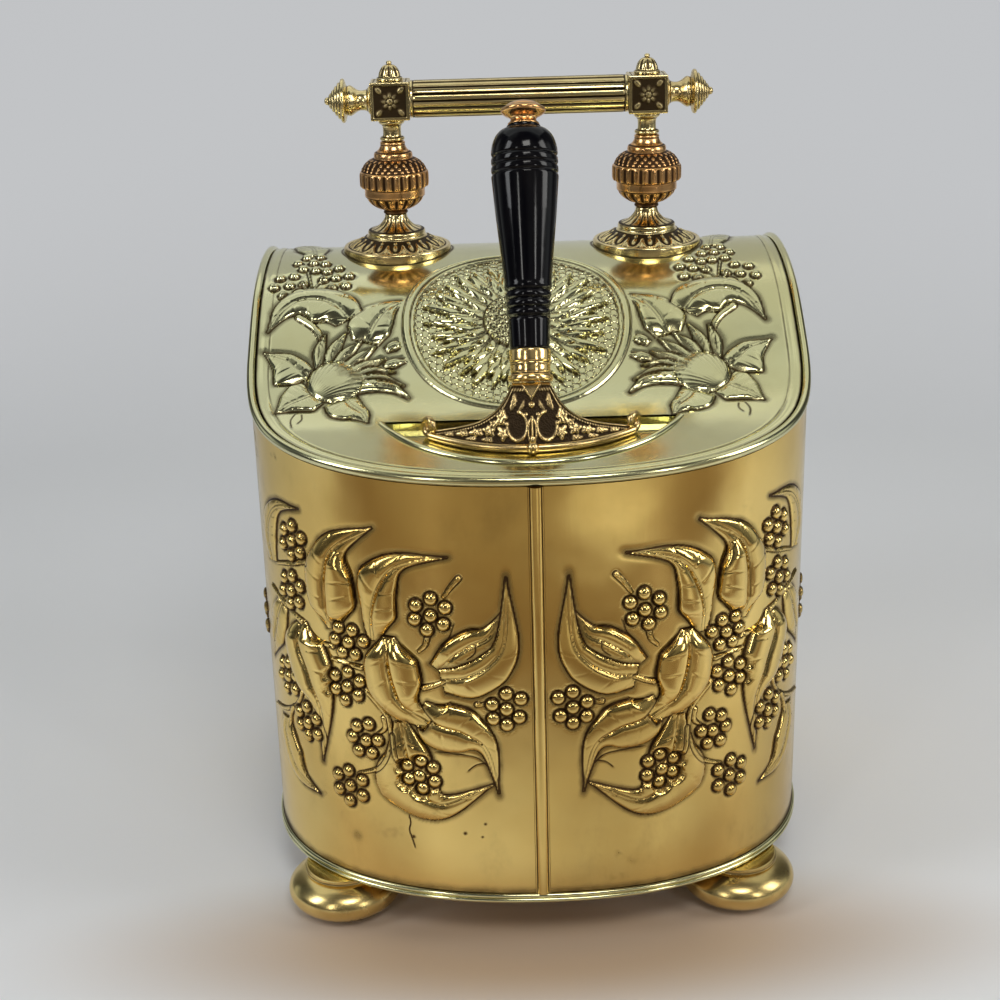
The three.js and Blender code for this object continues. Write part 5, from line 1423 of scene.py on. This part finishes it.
class Finish:
    """One material and the nodes that make its surface."""

    def __init__(self, name):
        self.material = bpy.data.materials.new(name)
        self.material.use_nodes = True
        self.tree = self.material.node_tree
        self.tree.nodes.clear()
        self.shader = self.tree.nodes.new("ShaderNodeBsdfPrincipled")
        output = self.tree.nodes.new("ShaderNodeOutputMaterial")
        self.tree.links.new(self.shader.outputs[0], output.inputs[0])

    def node(self, kind, settings=(), *inputs, out=0, **named):
        made = self.tree.nodes.new("ShaderNode" + kind)
        for key, value in dict(settings).items():
            if key == "stops":
                while len(made.color_ramp.elements) < len(value):
                    made.color_ramp.elements.new(0.5)
                for element, (place, colour) in zip(made.color_ramp.elements, value):
                    element.position = place
                    element.color = (*colour, 1) if len(colour) == 3 else colour
            else:
                setattr(made, key, value)
        for key, value in [*enumerate(inputs), *named.items()]:
            if isinstance(key, str):
                key = key.replace("_", " ")
            self.set(made.inputs[key], value)
        return None if out is None else Value(self, made.outputs[out])

    def set(self, socket, value):
        if isinstance(value, Value):
            self.tree.links.new(value.socket, socket)
        elif value is not None:
            socket.default_value = (*value, 1) if socket.type == "RGBA" and len(value) == 3 else value

    def place(self):
        return self.node("TexCoord", out="Object")

    def noise(self, scale, detail, roughness, stretch=None):
        at = self.place()
        if stretch:
            at = self.node("Mapping", {"vector_type": "POINT"}, at, Scale=stretch)
        return self.node("TexNoise", {}, Vector=at, Scale=scale, Detail=detail, Roughness=roughness)

    def ramp(self, value, *stops):
        grey = [(p, (c, c, c)) if not isinstance(c, tuple) else (p, c) for p, c in stops]
        return self.node("ValToRGB", {"stops": grey}, value)

    def between(self, low, high, value):
        return self.node("MapRange", {"interpolation_type": "SMOOTHSTEP", "clamp": True},
                         value, low, high, 0.0, 1.0)

    def mix(self, share, one, other):
        made = self.tree.nodes.new("ShaderNodeMix")
        made.data_type = "RGBA"
        colour_sockets = made.inputs[6], made.inputs[7]
        for socket, value in zip((made.inputs[0], *colour_sockets), (share, one, other)):
            self.set(socket, value)
        return Value(self, made.outputs[2])

    def mark(self, name):
        return self.node("Attribute", {"attribute_name": name}, out="Fac")

    def bump(self, height, strength, distance, below=None):
        named = {"Strength": strength, "Distance": distance, "Height": height}
        if below:
            named["Normal"] = below
        return self.node("Bump", {}, **named)

    def wear(self, base, roughness, normal=None, metallic=1.0, **uniform):
        self.set(self.shader.inputs["Base Color"], base)
        self.set(self.shader.inputs["Roughness"], roughness)
        self.set(self.shader.inputs["Metallic"], metallic)
        if normal:
            self.set(self.shader.inputs["Normal"], normal)
        for key, value in uniform.items():
            self.set(self.shader.inputs[key.replace("_", " ")], value)
        return self.material


class Room(Finish):
    """What surrounds the stage, made with the same calls as a material."""

    def __init__(self, name):
        world = bpy.data.worlds.new(name)
        bpy.context.scene.world = world
        world.use_nodes = True
        self.tree = world.node_tree
        self.tree.nodes.clear()


def brass(name, bright, warm, tarnish, smooth, blotch=7.0, haze=0.1):
    """Polished brass that keeps dark tarnish in its hollows and painted shade where its hollow mark
    carries it, with duller clouds as haze says.
    """
    f = Finish(name)
    cloud = f.noise(blotch, 5.0, 0.55)
    fine = f.noise(90.0, 6.0, 0.6)
    colour = f.mix(f.between(0.38, 0.68, cloud), bright, warm)
    specks = f.between(0.66, 0.74, f.noise(34.0, 3.0, 0.6))
    specks = specks * f.between(0.52, 0.64, f.noise(9.0, 2.0, 0.5))
    # The hollow mark is tarnish in hollows, and painted shade round leaves, on the panels' sides and
    # under the wired edge.
    tarnish_and_shade = f.between(0.10, 0.72, f.mark("hollow") + (fine - 0.5) * 0.35)
    streaks = f.between(0.50, 0.78, f.noise(24.0, 7.0, 0.7, stretch=(1.0, 1.0, 0.55)))
    dull = (f.between(0.40, 0.72, f.noise(4.5, 3.0, 0.6)) + streaks * 0.7) * haze
    for share in (dull, specks * 0.3, tarnish_and_shade):
        colour = f.mix(share, colour, tarnish)
    roughness = f.ramp(cloud, (0.3, smooth), (0.75, smooth + 0.1))
    roughness = roughness + tarnish_and_shade * 0.28 + specks * 0.2 + (fine - 0.5) * 0.06
    dents = f.noise(15.0, 2.0, 0.4)
    rubbed = f.noise(26.0, 8.0, 0.7, stretch=(1.0, 1.0, 0.12))
    hairlines = f.noise(240.0, 3.0, 0.6, stretch=(1.0, 0.3, 0.08))
    grain = f.node("TexVoronoi", {"feature": "F1"}, Vector=f.place(), Scale=720.0)
    normal = None
    for height, strength, distance in (
        (dents, 0.34, 0.004),
        (rubbed, 0.05, 0.001),
        (hairlines, 0.12, 0.0002),
        (grain * f.mark("stipple"), 0.9, 0.0006),
    ):
        normal = f.bump(height, strength, distance, normal)
    return f.wear(colour, roughness, normal)


def bronze_cast(name):
    """Dark cast bronze, rubbed bright where it stands up."""
    f = Finish(name)
    hollow, raised = f.mark("hollow"), f.mark("raised")
    fine = f.noise(160.0, 6.0, 0.6)
    worn = f.between(0.35, 0.95, raised + (fine - 0.5) * 0.5)
    colour = f.mix(worn, (0.13, 0.09, 0.045), (0.68, 0.50, 0.23))
    colour = f.mix(f.between(0.3, 0.9, hollow), colour, (0.042, 0.028, 0.016))
    pits = f.node("TexVoronoi", {"feature": "F1"}, Vector=f.place(), Scale=900.0)
    normal = f.bump(pits * f.mark("stipple"), 0.8, 0.0005)
    normal = f.bump(fine, 0.15, 0.0004, normal)
    return f.wear(colour, 0.42 - worn * 0.16 + hollow * 0.1, normal)


def ebonised(name):
    """Black polished wood, with fine grain and faint handling marks."""
    f = Finish(name)
    grain = f.noise(60.0, 8.0, 0.65, stretch=(1.0, 1.0, 0.06))
    smear = f.noise(22.0, 4.0, 0.6)
    colour = f.mix(f.between(0.35, 0.75, grain), (0.0015, 0.0015, 0.003), (0.006, 0.005, 0.006))
    normal = f.bump(grain, 0.06, 0.0004)
    roughness = f.ramp(smear, (0.3, 0.07), (0.8, 0.17))
    return f.wear(colour, roughness, normal, metallic=0.0, IOR=1.33)


def plain_steel(name):
    f = Finish(name)
    rust = f.noise(40.0, 5.0, 0.6)
    colour = f.mix(f.between(0.5, 0.7, rust), (0.40, 0.38, 0.35), (0.22, 0.14, 0.09))
    return f.wear(colour, f.ramp(rust, (0.3, 0.35), (0.7, 0.6)), f.bump(rust, 0.2, 0.0005))


def floor_paper(name):
    """Pale sweep with a painted warm shadow and a painted brass reflection before the object, fading
    into the backdrop further off. For the brass's reflections it is painted with a pale strip, then a
    dim room and a window."""
    f = Finish(name)
    plain = f.mix(f.noise(1.5, 2.0, 0.5), (0.78, 0.79, 0.83), (0.84, 0.85, 0.87))
    across, back, height = (f.node("SeparateXYZ", {}, f.place(), out=k) for k in range(3))
    # Painted warm shadow and painted brass reflection on the floor before the object, seen by the
    # camera too.
    painted_shadow_distance = (across * across + (back + 0.17) * (back + 0.17) * 12.0) ** 0.5
    plain = f.mix(f.between(0.36, 0.08, painted_shadow_distance) * 0.95, plain, (0.46, 0.33, 0.22))
    patchy = (f.noise(3.2, 2.0, 0.5) - 0.5) * 0.45
    painted_window = ((across - 0.34) * (across - 0.34) * 1.2 + (back + 0.9) * (back + 0.9) * 2.0) ** 0.5
    sideways = (across * across) ** 0.5
    # Painted reflections for the brass only: a pale strip, dark bands of a dim room, a painted window
    # and dark floor far to the sides.
    room = plain
    for start, end, place, colour in (
        (-0.24, -0.34, back, (0.70, 0.69, 0.68)),
        (-0.36, -0.56, back + patchy * 0.6, (0.26, 0.185, 0.115)),
        (-0.62, -0.86, back + patchy * 0.5, (0.40, 0.34, 0.26)),
        (0.34, 0.12, painted_window + patchy * 0.2, (0.95, 0.93, 0.86)),
        (0.95, 1.5, sideways, (0.30, 0.30, 0.30)),
    ):
        room = f.mix(f.between(start, end, place), room, colour)
    seen = f.node("LightPath")
    distance = (across * across + back * back + height * height) ** 0.5
    far_off = f.between(0.8, 1.6, distance) * seen
    colour = f.mix(far_off, f.mix(seen, room, plain), BLACK)
    glow = f.mix(far_off, BLACK, (0.52, 0.53, 0.545))
    f.set(f.shader.inputs["Emission Color"], glow)
    return f.wear(colour, 0.42, metallic=0.0, Specular_IOR_Level=0.4, Emission_Strength=1.0)


# ---- Light and floor ----------------------------------------------------------------------


def softbox(name, spot, aim, size, power, colour):
    data = bpy.data.lights.new(name, "AREA")
    data.shape, data.size, data.size_y = "RECTANGLE", size[0], size[1]
    data.energy, data.color = power, colour
    lamp = bpy.data.objects.new(name, data)
    back = np.array(spot, float) - np.array(aim, float)
    back /= np.linalg.norm(back)
    right = np.cross([0.0, 0.001, 1.0], back)
    right /= np.linalg.norm(right)
    lamp.matrix_world = turned_to(right, np.cross(back, right), back, spot)
    bpy.context.collection.objects.link(lamp)


def sweep_floor(material):
    """Level floor that curves up into a backdrop behind the object."""
    x = np.linspace(-3, 3, 13)
    floor_end, radius, backdrop_top = 0.8, 0.9, 3.2
    line = [(-3.2, 0.0), (floor_end, 0.0)]
    for turn in np.linspace(0.1, math.pi / 2, 12):
        line.append((floor_end + radius * math.sin(turn), radius - radius * math.cos(turn)))
    line.append((floor_end + radius, backdrop_top))
    points = [(u, y, z) for y, z in line for u in x]
    number = np.arange(len(points)).reshape(len(line), len(x))
    corners = number[:-1, :-1], number[:-1, 1:], number[1:, 1:], number[1:, :-1]
    mesh = bpy.data.meshes.new("sweep")
    mesh.from_pydata(points, [], np.stack(corners, -1).reshape(-1, 4).tolist())
    mesh.shade_smooth()
    mesh.materials.append(material)
    sweep = bpy.data.objects.new("sweep", mesh)
    bpy.context.collection.objects.link(sweep)


def stage_and_light():
    sweep_floor(floor_paper("sweep_paper"))
    softbox("overhead", (0.0, 0.92, 2.0), (0, 0.6, 0.3), (3.2, 2.0), 12, (0.97, 1.0, 0.96))
    softbox("left_window", (-1.5, -0.7, 1.25), (0, 0, 0.3), (0.5, 1.0), 9, (0.96, 0.98, 1.0))
    softbox("right_window", (1.6, -0.5, 1.1), (0, 0, 0.25), (0.6, 1.0), 10, (1.0, 0.99, 0.96))
    softbox("over_table_edge", (0.2, -1.3, 1.7), (0, -0.5, 0.0), (0.7, 0.5), 10, (1.0, 0.98, 0.93))
    softbox("left_strip", (-0.75, -1.5, 0.75), (0, -0.2, 0.2), (0.12, 0.7), 2.4, (1.0, 0.99, 0.95))
    softbox("right_strip", (0.95, -1.35, 0.7), (0, -0.2, 0.2), (0.14, 0.6), 2.4, (1.0, 0.99, 0.95))
    # The brass sees dim walls with pale patches. The camera sees one plain pale colour.
    room = Room("studio")
    cloud = room.node("TexNoise", {}, Vector=room.node("TexCoord"), Scale=1.6, Detail=1.0)
    ahead = room.node("SeparateXYZ", {}, room.node("TexCoord"), out=1)
    walls = room.ramp(cloud, (0.42, (0.045, 0.05, 0.054)), (0.62, (0.47, 0.50, 0.49)))
    walls = room.mix(room.between(0.15, -0.4, ahead) * 0.75, walls, (0.05, 0.045, 0.04))
    plain = room.mix(room.node("LightPath"), walls, (0.52, 0.53, 0.54))
    room.node("OutputWorld", {}, room.node("Background", {}, plain, 1.0), out=None)


# ---- The whole scuttle --------------------------------------------------------------------

place_camera()
stage_and_light()

# Brasses, each with its bright and its warm colour and its tarnish.
wall_brass = brass(
    "wall_brass", (0.92, 0.68, 0.24), (0.80, 0.55, 0.17), (0.075, 0.042, 0.018), 0.11, haze=0.3
)
lid_brass = brass(
    "lid_brass", (0.82, 0.80, 0.48), (0.76, 0.71, 0.38), (0.10, 0.073, 0.035), 0.11, haze=0.12
)
turned_brass = brass(
    "turned_brass", (0.96, 0.79, 0.40), (0.76, 0.58, 0.27), (0.06, 0.04, 0.02), 0.17, blotch=30.0
)
foot_brass = brass(
    "foot_brass", (0.88, 0.68, 0.28), (0.68, 0.51, 0.20), (0.10, 0.065, 0.03), 0.2, 22.0, 0.2
)
copper = brass(
    "aged_copper", (0.95, 0.56, 0.24), (0.76, 0.40, 0.15), (0.065, 0.035, 0.018), 0.2, 40.0, 0.15
)
collar = brass(
    "collar_brass", (0.98, 0.70, 0.30), (0.80, 0.52, 0.22), (0.05, 0.033, 0.017), 0.15, blotch=30.0
)
bronze = bronze_cast("dark_bronze")
ebony = ebonised("ebonised_wood")
steel = plain_steel("plain_steel")

for side, hand in ((-1, "left"), (1, "right")):
    body_panel(side, hand, wall_brass)
    post_foot(side, hand, turned_brass)
    post_bulb(side, hand, copper)
    post_stem(side, hand, turned_brass)
    post_cube(side, hand, turned_brass)
    top_finial(side, hand, turned_brass)
    side_finial(side, hand, turned_brass)
    for end, y in (("front", -84.0), ("rear", 150.0)):
        bun_foot(f"{end}_{hand}", side * 126.0, y, foot_brass)
lid_sheet(lid_brass)
lid_rim(lid_brass)
slot_bead(lid_brass)
base_moulding(lid_brass)
seam_strip(wall_brass)
handle_bar(turned_brass)
scoop_mount(bronze)
scoop_ferrule(collar)
scoop_grip(ebony)
end_button(copper)

carried = {
    wall_brass: ["back_panel", "bottom_plate", "scoop_blade"],
    lid_brass: ["slot_tray"],
    turned_brass: ["hinge_leaf_body", "hinge_leaf_lid"],
    steel: ["hinge_pin", "scoop_tang"]
    + [f"foot_nut_{e}_{h}" for e in ("front", "rear") for h in ("left", "right")]
    + [f"post_{p}_{h}" for p in ("rod", "washer", "nut") for h in ("left", "right")],
}
for material, nodes in carried.items():
    for node in nodes:
        for slot in bpy.data.objects[node].material_slots:
            slot.material = material

view = bpy.context.scene.view_settings
view.view_transform = "Standard"
